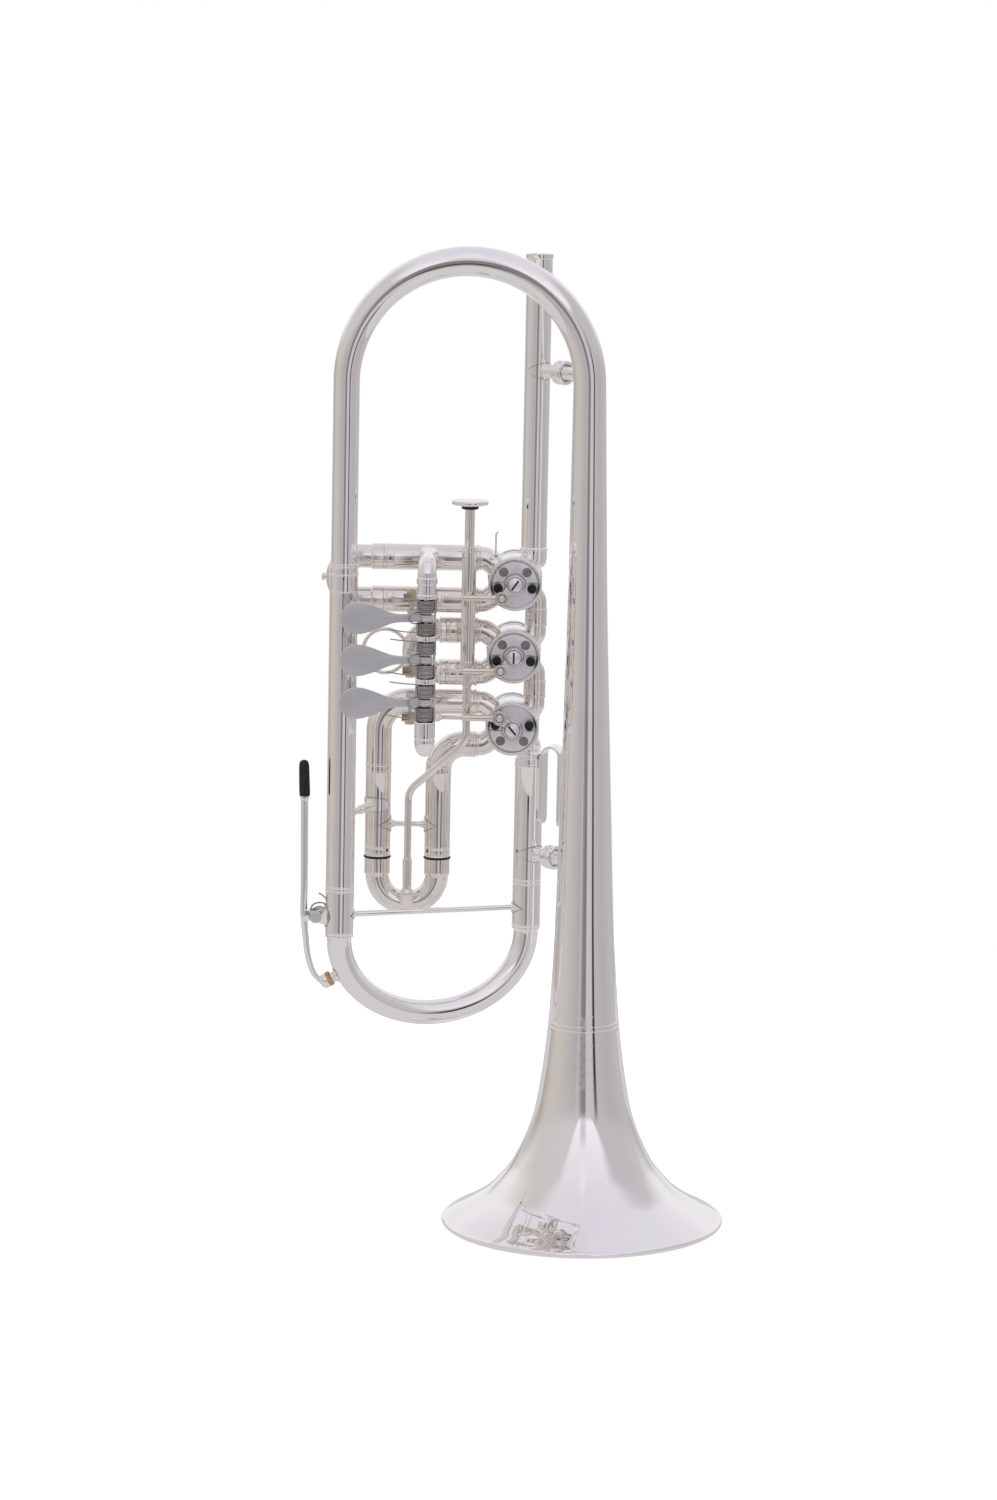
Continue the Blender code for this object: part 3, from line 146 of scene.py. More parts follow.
class Graph:
    """A shader node tree, with short ways to add the nodes that are used here."""

    def __init__(self, tree):
        self.nodes = tree.nodes
        self.links = tree.links

    def add(self, kind, values=None, **settings):
        """A new node. values maps input names to sockets, numbers or colours."""
        node = self.nodes.new("ShaderNode" + kind)
        for name, value in settings.items():
            setattr(node, name, value)
        for name, value in (values or {}).items():
            self.put(value, node.inputs[name])
        return node

    def put(self, value, socket):
        if isinstance(value, bpy.types.NodeSocket):
            self.links.new(value, socket)
        elif isinstance(value, tuple):
            socket.default_value = (*value, 1.0)
        elif value is not None:
            socket.default_value = value

    def math(self, operation, *values):
        node = self.add("Math", operation=operation)
        for socket, value in zip(node.inputs, values):
            self.put(value, socket)
        return node.outputs["Value"]

    def coords(self, name="Object"):
        return self.add("TexCoord").outputs[name]

    def noise(self, coords, scale, detail=3.0):
        return self.add("TexNoise", {"Vector": coords, "Scale": scale, "Detail": detail}).outputs["Fac"]

    def ramp(self, value, stops):
        ramp = self.add("ValToRGB", {"Fac": value})
        elements = ramp.color_ramp.elements
        while len(elements) < len(stops):
            elements.new(0.5)
        for element, (position, color) in zip(elements, stops):
            element.position = position
            element.color = (*color, 1.0)
        return ramp.outputs["Color"]

    def scaled(self, value, low, high):
        return self.add("MapRange", {"Value": value, "To Min": low, "To Max": high}).outputs["Result"]

    def smooth_step(self, value, start, end):
        values = {"Value": value, "From Min": start, "From Max": end}
        return self.add("MapRange", values, interpolation_type="SMOOTHSTEP").outputs["Result"]

    def angle_ramp(self, value, low, high, stops):
        """Colours along an angle in radians; stops are (degrees, colour)."""
        values = {"Value": value, "From Min": math.radians(low), "From Max": math.radians(high)}
        place = self.add("MapRange", values).outputs["Result"]
        return self.ramp(place, [((degrees - low) / (high - low), color) for degrees, color in stops])

    def mix(self, factor, first, second):
        mix = self.add("Mix", {"Factor": factor}, data_type="RGBA")
        for name, value in (("A", first), ("B", second)):
            self.put(value, mix.inputs[name])
        return mix.outputs["Result"]

    def bump(self, height, distance, strength, normal=None):
        values = {"Height": height, "Distance": distance, "Strength": strength, "Normal": normal}
        return self.add("Bump", values).outputs["Normal"]


def new_material(name, color, metallic, roughness):
    material = bpy.data.materials.new(name)
    material.use_nodes = True
    graph = Graph(material.node_tree)
    shader = graph.nodes["Principled BSDF"]
    graph.put(color, shader.inputs["Base Color"])
    graph.put(metallic, shader.inputs["Metallic"])
    graph.put(roughness, shader.inputs["Roughness"])
    return material, graph, shader


def metal(name, color, shade, smooth, rough, cloud=45.0, scratch=0.15):
    """Metal whose tint and gloss drift slightly, with fine polishing marks."""
    material, graph, shader = new_material(name, color, 1.0, smooth)
    coords = graph.coords()
    drift = graph.noise(coords, cloud)
    graph.put(graph.ramp(drift, [(0.3, shade), (0.7, color)]), shader.inputs["Base Color"])
    fine = graph.noise(coords, 900.0, 4.0)
    graph.put(graph.scaled(graph.math("MULTIPLY", drift, fine), smooth, rough), shader.inputs["Roughness"])
    graph.put(graph.bump(fine, 0.00002, scratch), shader.inputs["Normal"])
    return material


def bell_metal(name):
    """Mirror silver plate with a small engraved chain of lozenges up the front of the bell."""
    material = metal(name, (0.975, 0.965, 0.955), (0.96, 0.945, 0.935), 0.015, 0.05)
    graph = Graph(material.node_tree)
    shader = graph.nodes["Principled BSDF"]
    split = graph.add("SeparateXYZ", {"Vector": graph.coords()})
    across = graph.math("ABSOLUTE", graph.math("SUBTRACT", split.outputs["X"], BELL_AXIS_X * MM))
    height = split.outputs["Z"]
    phase = graph.math("PINGPONG", height, LOZENGE_PITCH / 2)
    diamond = graph.math(
        "ADD", graph.math("DIVIDE", across, LOZENGE_HALF), graph.math("DIVIDE", phase, LOZENGE_PITCH / 2)
    )
    lines = None
    for level, width in ((0.92, 0.08), (0.62, 0.05), (0.34, 0.06)):
        line = graph.math("COMPARE", diamond, level, width)
        lines = line if lines is None else graph.math("MAXIMUM", lines, line)
    mask = lines
    for limit in (
        graph.math("GREATER_THAN", height, LOZENGES_LOW), graph.math("LESS_THAN", height, LOZENGES_HIGH),
        graph.math("LESS_THAN", split.outputs["Y"], 0.0), graph.math("LESS_THAN", across, LOZENGE_HALF),
    ):
        mask = graph.math("MULTIPLY", mask, limit)
    cut = graph.math("SUBTRACT", 1.0, mask)
    old_rough, old_normal = (shader.inputs[key].links[0].from_socket for key in ("Roughness", "Normal"))
    graph.put(graph.math("ADD", old_rough, graph.math("MULTIPLY", mask, 0.22)), shader.inputs["Roughness"])
    graph.put(graph.bump(cut, 0.0002, 0.6, old_normal), shader.inputs["Normal"])
    return material


def soft_material(name, light, dark, roughness, scale):
    """Rubber or cork: a speckle of two colours with a grained surface."""
    material, graph, shader = new_material(name, light, 0.0, roughness)
    grain = graph.noise(graph.coords(), scale, 6.0)
    graph.put(graph.ramp(grain, [(0.35, dark), (0.65, light)]), shader.inputs["Base Color"])
    graph.put(graph.scaled(grain, roughness - 0.08, roughness + 0.08), shader.inputs["Roughness"])
    graph.put(graph.bump(grain, 0.0001, 0.4), shader.inputs["Normal"])
    shader.inputs["Specular IOR Level"].default_value = 0.22
    return material


LOZENGE_PITCH = 0.0078
LOZENGE_HALF = 0.0052
LOZENGES_LOW = 0.0780
LOZENGES_HIGH = 0.1170

MATERIALS = {
    "silver": metal("silver", (0.975, 0.965, 0.955), (0.955, 0.94, 0.925), 0.015, 0.055),
    "bell": bell_metal("bell_silver"),
    "aged": metal("aged_silver", (0.945, 0.915, 0.88), (0.83, 0.78, 0.73), 0.02, 0.075, 60.0),
    # Dark paint for the shade round brace feet and in the bell braces' grooves: painted shade, not a metal of its own.
    "shade_shell": metal("painted_shade", (0.40, 0.35, 0.31), (0.26, 0.22, 0.19), 0.25, 0.5, 120.0, 0.4),
    "satin": metal("satin_nickel", (0.93, 0.925, 0.935), (0.86, 0.855, 0.865), 0.36, 0.62, 60.0, 0.5),
    "frost": metal("frosted_nickel", (0.72, 0.715, 0.73), (0.65, 0.645, 0.66), 0.40, 0.58, 60.0, 0.5),
    "nickel": metal("rod_nickel", (0.88, 0.83, 0.76), (0.80, 0.73, 0.64), 0.06, 0.20),
    "brass": metal("link_brass", (0.72, 0.64, 0.52), (0.60, 0.52, 0.40), 0.12, 0.35),
    "steel": metal("spring_steel", (0.50, 0.47, 0.45), (0.38, 0.35, 0.33), 0.18, 0.42),
    "rubber": soft_material("black_rubber", (0.016, 0.016, 0.017), (0.008, 0.008, 0.008), 0.42, 500.0),
    "grey": soft_material("grey_plug", (0.17, 0.16, 0.16), (0.12, 0.115, 0.11), 0.5, 700.0),
    "cork": soft_material("cork", (0.48, 0.27, 0.14), (0.25, 0.12, 0.06), 0.8, 900.0),
}


# ---------------------------------------------------------------- mesh makers

def softened(profile, radius, closed=True, steps=3):
    """Rounds the corners of an outline of (x, y) pairs. Corners with x = 0 stay."""
    count = len(profile)
    result = []
    for index, (x, y) in enumerate(profile):
        here = Vector((x, y))
        if not closed and index in (0, count - 1) or x < 1e-6:
            result.append((x, y))
            continue
        before = Vector(profile[index - 1])
        after = Vector(profile[(index + 1) % count])
        into = here - before
        out = after - here
        reach = min(radius, into.length * 0.42, out.length * 0.42)
        if reach < 0.01 or into.angle(out, 0) < math.radians(4):
            result.append((x, y))
            continue
        start = here - into.normalized() * reach
        end = here + out.normalized() * reach
        for step in range(steps + 1):
            share = step / steps
            point = start.lerp(here, share).lerp(here.lerp(end, share), share)
            result.append((point.x, point.y))
    return result


def smoothed(points, steps=5):
    """A Catmull-Rom curve through points."""
    result = []
    for index in range(len(points) - 1):
        a = points[max(index - 1, 0)]
        b = points[index]
        c = points[index + 1]
        d = points[min(index + 2, len(points) - 1)]
        for step in range(steps):
            t = step / steps
            result.append(
                0.5 * ((2 * b) + (c - a) * t + (2 * a - 5 * b + 4 * c - d) * t * t + (3 * b - a - 3 * c + d) * t ** 3)
            )
    return result + [points[-1]]


def circle(radius, sides, x=0.0, y=0.0):
    """The outline of a circle as (x, y) pairs."""
    turns = [2 * math.pi * side / sides for side in range(sides)]
    return [(x + radius * math.cos(turn), y + radius * math.sin(turn)) for turn in turns]


def arc(radius, start, end, steps):
    """Part of a circle from one angle to another in degrees, as (x, y) pairs."""
    turns = [math.radians(start + (end - start) * step / steps) for step in range(steps + 1)]
    return [(radius * math.cos(turn), radius * math.sin(turn)) for turn in turns]


def both_sides(line):
    """A half outline that ends on the x axis, and its mirror image."""
    return line + [(x, -y) for x, y in reversed(line[:-1])]


def symmetric(line, length):
    """A profile that is the same from either end of a length."""
    return line + [(length - distance, radius) for distance, radius in reversed(line)]


def moved(origin, *offsets):
    return [origin + Vector(offset) for offset in offsets]


def raised(base, start, end, rise, edge=0.1):
    """A band on a profile, with its edges just outside start and end."""
    return [(start - edge, base), (start, base + rise), (end, base + rise), (end + edge, base)]


def ring_points(centre, across, up, radius, sides):
    for side in range(sides):
        angle = 2 * math.pi * side / sides
        yield centre + across * (radius * math.cos(angle)) + up * (radius * math.sin(angle))


def bridge(mesh, first, second):
    for side in range(len(first)):
        other = (side + 1) % len(first)
        corners = []
        for vert in (first[side], first[other], second[other], second[side]):
            if vert not in corners:
                corners.append(vert)
        if len(corners) > 2:
            mesh.faces.new(corners)


def lathe(profile, origin, axis=UP, sides=56, soft=0.25):
    """Turns a closed outline of (radius, height) about an axis, with its corners rounded."""
    axis = axis.normalized()
    guide = UP if abs(axis.z) < 0.8 else RIGHT
    across = axis.cross(guide).normalized()
    up = axis.cross(across)
    mesh = bmesh.new()
    rings = []
    for radius, height in softened(profile, soft) if soft else profile:
        centre = origin + axis * height
        if radius < 1e-6:
            rings.append([mesh.verts.new(centre)] * sides)
        else:
            rings.append([mesh.verts.new(co) for co in ring_points(centre, across, up, radius, sides)])
    for index, first in enumerate(rings):
        second = rings[(index + 1) % len(rings)]
        if first[0] is first[1] and second[0] is second[1]:
            continue
        bridge(mesh, first, second)
    return mesh


def rod(start, end, radius, sides=32, soft=0.25):
    length = (end - start).length
    return lathe([(0, 0), (radius, 0), (radius, length), (0, length)], start, end - start, sides, soft)


def bent(corners, bends, step=math.radians(5)):
    """Straight runs between corners, rounded to the given bend radii."""
    points = [corners[0]]
    for index, bend in enumerate(bends, start=1):
        corner = corners[index]
        into = (corner - corners[index - 1]).normalized()
        out = (corners[index + 1] - corner).normalized()
        turn = into.angle(out)
        reach = bend * math.tan(turn / 2)
        centre = corner + (out - into).normalized() * (bend / math.cos(turn / 2))
        start = corner - into * reach
        axis = into.cross(out).normalized()
        pieces = math.ceil(turn / step)
        for piece in range(pieces + 1):
            points.append(centre + Quaternion(axis, turn * piece / pieces) @ (start - centre))
    points.append(corners[-1])
    kept = [points[0]]
    for point in points[1:]:
        if (point - kept[-1]).length > 0.03:
            kept.append(point)
    return kept


def length_of(points):
    return sum((b - a).length for a, b in zip(points, points[1:]))


def path_frames(points):
    tangents = []
    for index, point in enumerate(points):
        before = points[max(index - 1, 0)]
        after = points[min(index + 1, len(points) - 1)]
        into = (point - before).normalized() if index else (after - point).normalized()
        out = (after - point).normalized() if index < len(points) - 1 else into
        tangents.append((into + out).normalized())
    guide = BACK if abs(tangents[0].y) < 0.8 else RIGHT
    across = tangents[0].cross(guide).normalized()
    frames = []
    for index, tangent in enumerate(tangents):
        if index:
            across = tangents[index - 1].rotation_difference(tangent) @ across
        across = (across - tangent * across.dot(tangent)).normalized()
        frames.append((across, tangent.cross(across)))
    return frames


def value_at(steps, distance):
    if distance <= steps[0][0]:
        return steps[0][1]
    for (low, first), (high, second) in zip(steps, steps[1:]):
        if distance <= high:
            return first + (second - first) * (distance - low) / max(high - low, 1e-9)
    return steps[-1][1]


def stations(points, profile):
    """Path points plus one at each profile step, and the distance of each from the start."""
    distances = [0.0]
    for first, second in zip(points, points[1:]):
        distances.append(distances[-1] + (second - first).length)
    wanted = list(distances)
    for distance, _ in profile:
        if 0 < distance < distances[-1] and min(abs(distance - known) for known in wanted) > 0.015:
            wanted.append(distance)
    placed = []
    index = 0
    for distance in sorted(wanted):
        while index < len(distances) - 2 and distances[index + 1] < distance:
            index += 1
        share = (distance - distances[index]) / (distances[index + 1] - distances[index])
        placed.append((points[index].lerp(points[index + 1], share), distance))
    return placed


def pipe(points, outer, inner=None, sides=40, soft=0.25):
    """A pipe along points. outer and inner list (distance, radius); without inner it is solid."""
    mesh = bmesh.new()
    walls = []
    for profile in [softened(outer, soft, False)] + ([inner] if inner else []):
        placed = stations(points, profile)
        frames = path_frames([point for point, _ in placed])
        rings = []
        for (point, distance), (across, up) in zip(placed, frames):
            radius = value_at(profile, distance)
            rings.append([mesh.verts.new(co) for co in ring_points(point, across, up, radius, sides)])
        for first, second in zip(rings, rings[1:]):
            bridge(mesh, first, second)
        walls.append(rings)
    for end in (0, -1):
        if inner:
            bridge(mesh, walls[0][end], walls[1][end])
        else:
            mesh.faces.new(walls[0][end])
    return mesh


def wire(points, radius, sides=12, steps=6):
    path = smoothed(points, steps) if steps > 1 else points
    total = length_of(path)
    ends = [(0, radius * 0.6), (radius * 0.4, radius), (total - radius * 0.4, radius), (total, radius * 0.6)]
    return pipe(path, ends, sides=sides, soft=0)


def coil(origin, axis, radius, thick, turns, height):
    """A close-wound spring."""
    across = axis.cross(BACK if abs(axis.y) < 0.8 else RIGHT).normalized()
    up = axis.cross(across)
    points = []
    count = int(turns * 20)
    for index in range(count + 1):
        angle = 2 * math.pi * index / 20
        along = height * index / count
        points.append(origin + axis * along + across * (radius * math.cos(angle)) + up * (radius * math.sin(angle)))
    return pipe(points, [(0, thick), (9999, thick)], sides=8, soft=0)


def ball(centre, radius, sides=32):
    return lathe([(0, -radius)] + arc(radius, -80, 80, 16) + [(0, radius)], centre, BACK, sides, 0)


def bevelled(mesh, width, segments=3, angle=math.radians(30)):
    edges = [edge for edge in mesh.edges if len(edge.link_faces) == 2 and edge.calc_face_angle(0) > angle]
    bmesh.ops.bevel(mesh, geom=edges, offset=width, segments=segments, profile=0.5, affect="EDGES", clamp_overlap=True)
    return mesh


def block(low, high, bevel=0.4):
    mesh = bmesh.new()
    bmesh.ops.create_cube(mesh, size=1)
    for vert in mesh.verts:
        vert.co = Vector([(a + b) / 2 + c * (b - a) for a, b, c in zip(low, high, vert.co)])
    return bevelled(mesh, bevel)


def plate(outline, place, thickness, bevel=0.3):
    """Extrudes a flat outline of (x, y) pairs and rounds its edges."""
    mesh = bmesh.new()
    face = mesh.faces.new([mesh.verts.new((x, y, -thickness / 2)) for x, y in outline])
    for item in bmesh.ops.extrude_face_region(mesh, geom=[face])["geom"]:
        if isinstance(item, bmesh.types.BMVert):
            item.co.z = thickness / 2
    if bevel:
        bevelled(mesh, bevel, 3, math.radians(50))
    bmesh.ops.transform(mesh, matrix=place, verts=mesh.verts)
    return mesh


def placed_along(origin, x_axis, y_axis, z_axis):
    return Matrix.Translation(origin) @ Matrix((x_axis, y_axis, z_axis)).transposed().to_4x4()


def turned(mesh, matrix):
    bmesh.ops.transform(mesh, matrix=matrix, verts=mesh.verts)
    return mesh


def piece(name, shapes, finish, body="body", nodes=(), place=TUBES, sharp=40):
    """One visible object made of closed shapes, riding on a body and standing for CAD nodes."""
    data = bmesh.new()
    for shape in shapes:
        bmesh.ops.recalc_face_normals(shape, faces=shape.faces)
        part = bpy.data.meshes.new("part")
        shape.to_mesh(part)
        shape.free()
        data.from_mesh(part)
        bpy.data.meshes.remove(part)
    bmesh.ops.transform(data, matrix=place, verts=data.verts)
    mesh = bpy.data.meshes.new(name)
    data.to_mesh(mesh)
    data.free()
    mesh.shade_smooth()
    mesh.set_sharp_from_angle(angle=math.radians(sharp))
    mesh.materials.append(MATERIALS[finish])
    obj = bpy.data.objects.new(name, mesh)
    bpy.context.scene.collection.objects.link(obj)
    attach(obj, body)
    if nodes:
        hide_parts(*([nodes] if isinstance(nodes, str) else nodes))
    return obj


def bands(base, rings, length):
    """An outer profile with raised bands, each (start, end, height above base)."""
    steps = [(0, base)]
    for start, end, rise in sorted(rings):
        steps += raised(base, start, end, rise, 0.12)
    return steps + [(length, base)]


def beads(start, widths, rise, gap=0.35):
    """Neighbouring bands that look like a turned ornament."""
    found = []
    for width in widths:
        found.append((start, start + width, rise))
        start += width + gap
    return found


# ---------------------------------------------------------------- bell and bows

BELL_LINE = [
    (75.0, 2.6), (71.0, 5.0), (65.5, 8.0), (59.0, 12.0), (52.0, 17.0), (46.0, 23.0), (40.0, 30.0), (36.4, 36.0),
    (32.9, 43.0), (29.2, 52.0), (26.1, 62.0), (23.6, 75.0), (21.35, 90.0), (19.1, 110.0), (17.3, 135.0),
    (15.55, 170.0), (14.0, 220.0), (12.15, 280.0), (10.5, 340.0), (9.5, 400.0), (8.7, 450.3),
]


def bell_profile():
    line = [Vector(point) for point in BELL_LINE]
    curve = smoothed(line, 7)
    extra = []
    for centre in GROOVE_W:
        for offset in (-0.6, -0.3, 0.0, 0.3, 0.6):
            extra.append(centre + offset)
    heights = sorted([point.y for point in curve] + extra)
    pairs = [(point.y, point.x) for point in curve]
    outer = []
    for height in heights:
        radius = value_at(pairs, height)
        for centre in GROOVE_W:
            radius -= 0.05 * math.exp(-((height - centre) / 0.3) ** 2)
        outer.append(Vector((radius, height)))
    return outer


def build_bell():
    outer = bell_profile()
    inner = []
    for index, point in enumerate(outer):
        low = outer[max(index - 1, 0)]
        high = outer[min(index + 1, len(outer) - 1)]
        along = (high - low).normalized()
        if index in (0, len(outer) - 1):
            inner.append(point - Vector((0.6 / along.y, 0)))
        else:
            inner.append(point + Vector((-along.y, along.x)) * 0.6)
    profile = [tuple(point) for point in outer + inner[::-1]]
    shell = lathe(profile, uvw(0, 0, 0), UP, 160, 0)
    piece("bell_shell", [shell], "bell", nodes="bell", place=STAND, sharp=60)
    rim = lathe(circle(1.6, 16, 74.35, 1.9), uvw(0, 0, 0), UP, 160, 0)
    piece("bell_rolled_rim", [rim], "silver", nodes="bell_rim_ring", place=STAND)


def build_bell_bow():
    foot_w = BRANCH_END_W - 8
    points = [uvw(LEFT_U, 0, foot_w)]
    turn = math.pi - LEAN
    steps = 60
    for index in range(steps + 1):
        angle = math.pi - turn * index / steps
        points.append(uvw(BOW_U + BOW_RADIUS * math.cos(angle), 0, BOW_W + BOW_RADIUS * math.sin(angle)))
    straight = BOW_W - foot_w
    curved = length_of(points)
    points.append(points[-1] + uvw(math.sin(LEAN), 0, -math.cos(LEAN)) * 5.0)
    total = length_of(points)
    outer = [(0, 7.0), (straight, 7.0), (curved, 8.7), (total, 8.7)]
    inner = [(0, 6.3), (straight, 6.3), (curved, 8.0), (total, 8.0)]
    piece("bell_top_bow", [pipe(points, outer, inner, 56, 0)], "silver", nodes="bell_bow")


def build_left_sleeve():
    low = uvw(LEFT_U, 0, SLIDE_SEAM_W + SEAM)
    high = uvw(LEFT_U, 0, BRANCH_END_W)
    length = (high - low).length
    rings = [(0.5, 1.1, 0.22), (2.6, 3.1, 0.16), (length - 15.2, length - 14.7, 0.14)]
    rings += [(length - 6.3, length - 5.7, 0.3), (length - 2.4, length - 1.7, 0.35), (length - 1.0, length - 0.3, 0.3)]
    inner = [(0, SLEEVE_IN), (length - 10, SLEEVE_IN), (length - 9, 7.05), (length, 7.05)]
    body = pipe([low, high], bands(SLEEVE_OUT, rings, length), inner, 56)
    start = uvw(LEFT_U, 0, LEFT_BRACE_W[0])
    end = uvw(SLIDE3_LEFT_U, PORT_V, LEFT_BRACE_W[1])
    along = (end - start).normalized()
    reach = (end - start).length
    near = SLEEVE_OUT - 0.4
    far = reach - LEG_OUT
    brace = lathe(
        [
            (0, near), (3.2, near), (3.0, near + 0.8), (1.9, near + 1.3), (1.9, reach / 2 - 0.4), (2.5, reach / 2),
            (2.5, far - 2.2), (2.9, far - 1.4), (3.2, far + 0.6), (0, far + 0.6),
        ],
        start, along, 32, 0.3,
    )
    facing = (uvw(start.x, start.y, 0) - uvw(end.x, end.y, 0)).normalized()
    strap = fitted_leaf(end, facing, LEG_OUT, math.radians(88), 3.7, 4)
    foot = fitted_leaf(start, -facing, SLEEVE_OUT, math.radians(32), 3.2, 2)
    piece("left_tube_sleeve", [body, brace, strap, foot], "silver", nodes="tuning_sleeve_left")


# Dark sheets, gathered by body, that paint shade round the brace feet and in the bell braces' grooves.
SHADE_SHELLS = {"body": [], "tuning": []}


def leaf_shell(centre, facing, radius, half_angle, half_height, power, rise):
    """A thin sheet bent round an upright tube on the side it faces, tapering towards both ends."""
    mesh = bmesh.new()
    across = UP.cross(facing)
    layers = []
    for depth in (radius - 0.3, radius + rise):
        layer = []
        for index in range(33):
            share = math.sin(math.pi / 2 * (-1 + 2 * index / 32))
            tall = half_height * max(0.04, 1 - abs(share) ** power)
            spot = centre + (facing * math.cos(share * half_angle) + across * math.sin(share * half_angle)) * depth
            layer.append([mesh.verts.new(spot - UP * tall), mesh.verts.new(spot + UP * tall)])
        layers.append(layer)
    inner, outer = layers
    for index in range(32):
        for layer in layers:
            mesh.faces.new([layer[index][0], layer[index][1], layer[index + 1][1], layer[index + 1][0]])
        for side in (0, 1):
            mesh.faces.new([inner[index][side], inner[index + 1][side], outer[index + 1][side], outer[index][side]])
    for index in (0, -1):
        mesh.faces.new([inner[index][0], inner[index][1], outer[index][1], outer[index][0]])
    return mesh


def fitted_leaf(centre, facing, radius, half_angle, half_height, power, body="body"):
    """The saddle of a brace; a slightly wider dark sheet under its edge, gathered by body, paints shade round the
    saddle.
    """
    edge = 0.3
    wider = half_angle + 2 * edge / radius
    # A wider, thinner dark sheet under the saddle shows as painted shade round its edge.
    SHADE_SHELLS[body].append(leaf_shell(centre, facing, radius, wider, half_height + edge, power, 0.15))
    return leaf_shell(centre, facing, radius, half_angle, half_height, power, 0.65)


def port_start(number, degrees):
    angle = math.radians(degrees)
    return uvw(VALVE_U + 9 * math.cos(angle), PORT_V, VALVE_W[number] + 9 * math.sin(angle))


def build_exit_tube():
    corners = [port_start(2, -40), uvw(EXIT_U, PORT_V, 255.0), uvw(EXIT_U, PORT_V, SLIDE_SEAM_W + SEAM)]
    points = bent(corners, [8.0])
    length = length_of(points)
    outer = [(0, 5.8), (9.5, 6.2), (10.0, 7.2), (11.2, 7.2), (11.6, 6.6), (12.6, 6.6), (13, SLEEVE_OUT)]
    for start, end, rise in ((16.1, 17.2, 0.4), (length - 3.0, length - 2.6, 0.16), (length - 1.1, length - 0.5, 0.22)):
        outer += raised(SLEEVE_OUT, start, end, rise)
    outer += [(length, SLEEVE_OUT)]
    inner = [(0, 5.0), (12, 5.2), (16, SLEEVE_IN), (length, SLEEVE_IN)]
    piece("exit_tube", [pipe(points, outer, inner, 56)], "silver", nodes="valve_exit_tube")


def build_leadpipe():
    corners = [port_start(0, 40), uvw(LEAD_U, PORT_V, 356.0), uvw(LEAD_U, PORT_V, LEADPIPE_TOP_W)]
    points = bent(corners, [6.0])
    length = length_of(points)
    ring = length - (LEADPIPE_TOP_W - LEADPIPE_RING_W)
    outer = [(0, 5.8), (4.4, 6.1), (4.8, 6.9), (5.8, 6.9), (6.1, 6.3), (ring - 0.3, 6.9)]
    rings = [(0, 7.6), (0.9, 7.6), (1.0, 7.2), (6.2, 7.2), (6.3, 7.6), (7.2, 7.6), (7.5, 6.9)]
    outer += [(ring + distance, radius) for distance, radius in rings] + [(length, 6.9)]
    piece("lead_pipe", [pipe(points, outer, [(0, 5.0), (length, 5.4)], 56)], "silver", nodes="leadpipe")
    top = RECEIVER_TOP_W
    profile = [
        (4.9, 478.5), (6.9, 478.5), (6.91, 479.5), (6.91, top - 11.4), (7.4, top - 11.2), (7.4, top - 10.2),
        (7.0, top - 9.9), (7.0, top - 2.6), (7.4, top - 2.3), (7.4, top), (5.7, top), (5.2, top - 12),
    ]
    piece("receiver", [lathe(profile, uvw(LEAD_U, PORT_V, 0), UP, 56, 0.2)], "silver", nodes="mouthpiece_receiver")


def build_tuning_slide():
    left = uvw(LEFT_U, 0, FERRULE_END_W)
    right = uvw(EXIT_U, PORT_V, FERRULE_END_W)
    middle = (left + right) / 2
    half = (right - left) / 2
    points = [left + uvw(0, 0, TUNING_LEG)]
    steps = 56
    for index in range(steps + 1):
        angle = math.pi * index / steps
        points.append(middle - half * math.cos(angle) - uvw(0, 0, BOW_DEPTH * math.sin(angle)))
    points.append(right + uvw(0, 0, TUNING_LEG))
    length = length_of(points)
    seam = TUNING_LEG - (SLIDE_SEAM_W - GAP / 2 - FERRULE_END_W)
    ferrule = [
        (seam - 0.15, INNER_OUT), (seam - 0.1, SLEEVE_OUT), (TUNING_LEG - 4.2, SLEEVE_OUT),
        (TUNING_LEG - 4.1, SLEEVE_OUT + 0.22), (TUNING_LEG - 3.4, SLEEVE_OUT + 0.22), (TUNING_LEG - 3.3, SLEEVE_OUT),
        (TUNING_LEG - 2.2, SLEEVE_OUT), (TUNING_LEG - 2.1, SLEEVE_OUT + 0.2), (TUNING_LEG - 1.5, SLEEVE_OUT + 0.15),
        (TUNING_LEG - 1.3, INNER_OUT + 0.1), (TUNING_LEG - 0.9, INNER_OUT),
    ]
    bow = pipe(points, symmetric([(0, INNER_OUT)] + ferrule, length), [(0, INNER_IN), (length, INNER_IN)], 56, 0.2)
    start = uvw(LEFT_U, 0, CROSS_ROD_W)
    end = uvw(EXIT_U, PORT_V, CROSS_ROD_W)
    along = (end - start).normalized()
    facing = uvw(along.x, along.y, 0).normalized()
    feet = [
        fitted_leaf(start, facing, SLEEVE_OUT, math.radians(52), 3.0, 1, "tuning"),
        fitted_leaf(end, -facing, SLEEVE_OUT, math.radians(56), 3.0, 1, "tuning"),
    ]
    start += along * (SLEEVE_OUT - 0.5)
    span = (right - left).length - 2 * (SLEEVE_OUT - 0.5)
    profile = [
        (0, 0), (1.9, 0), (1.7, 1.2), (1.45, 1.9), (1.45, span / 2 - 6.6), (1.75, span / 2 - 6.4),
        (1.75, span / 2 - 5.8), (1.45, span / 2 - 5.6), (1.45, span - 1.9), (1.7, span - 1.2), (1.9, span), (0, span),
    ]
    cross = lathe(profile, start, along, 32, 0.3)
    nipple = lathe(
        [(0, 3.5), (3.9, 3.5), (3.9, 6.4), (3.7, 7.2), (3.0, 7.5), (3.0, 8.2), (3.35, 8.5), (3.35, 9.0), (0, 9.0)],
        NIPPLE_ROOT, NIPPLE_AXIS, 40, 0.15,
    )
    piece("tuning_bow", [bow, cross, nipple] + feet, "silver", "tuning", "tuning_slide_bow")


# ---------------------------------------------------------------- valves

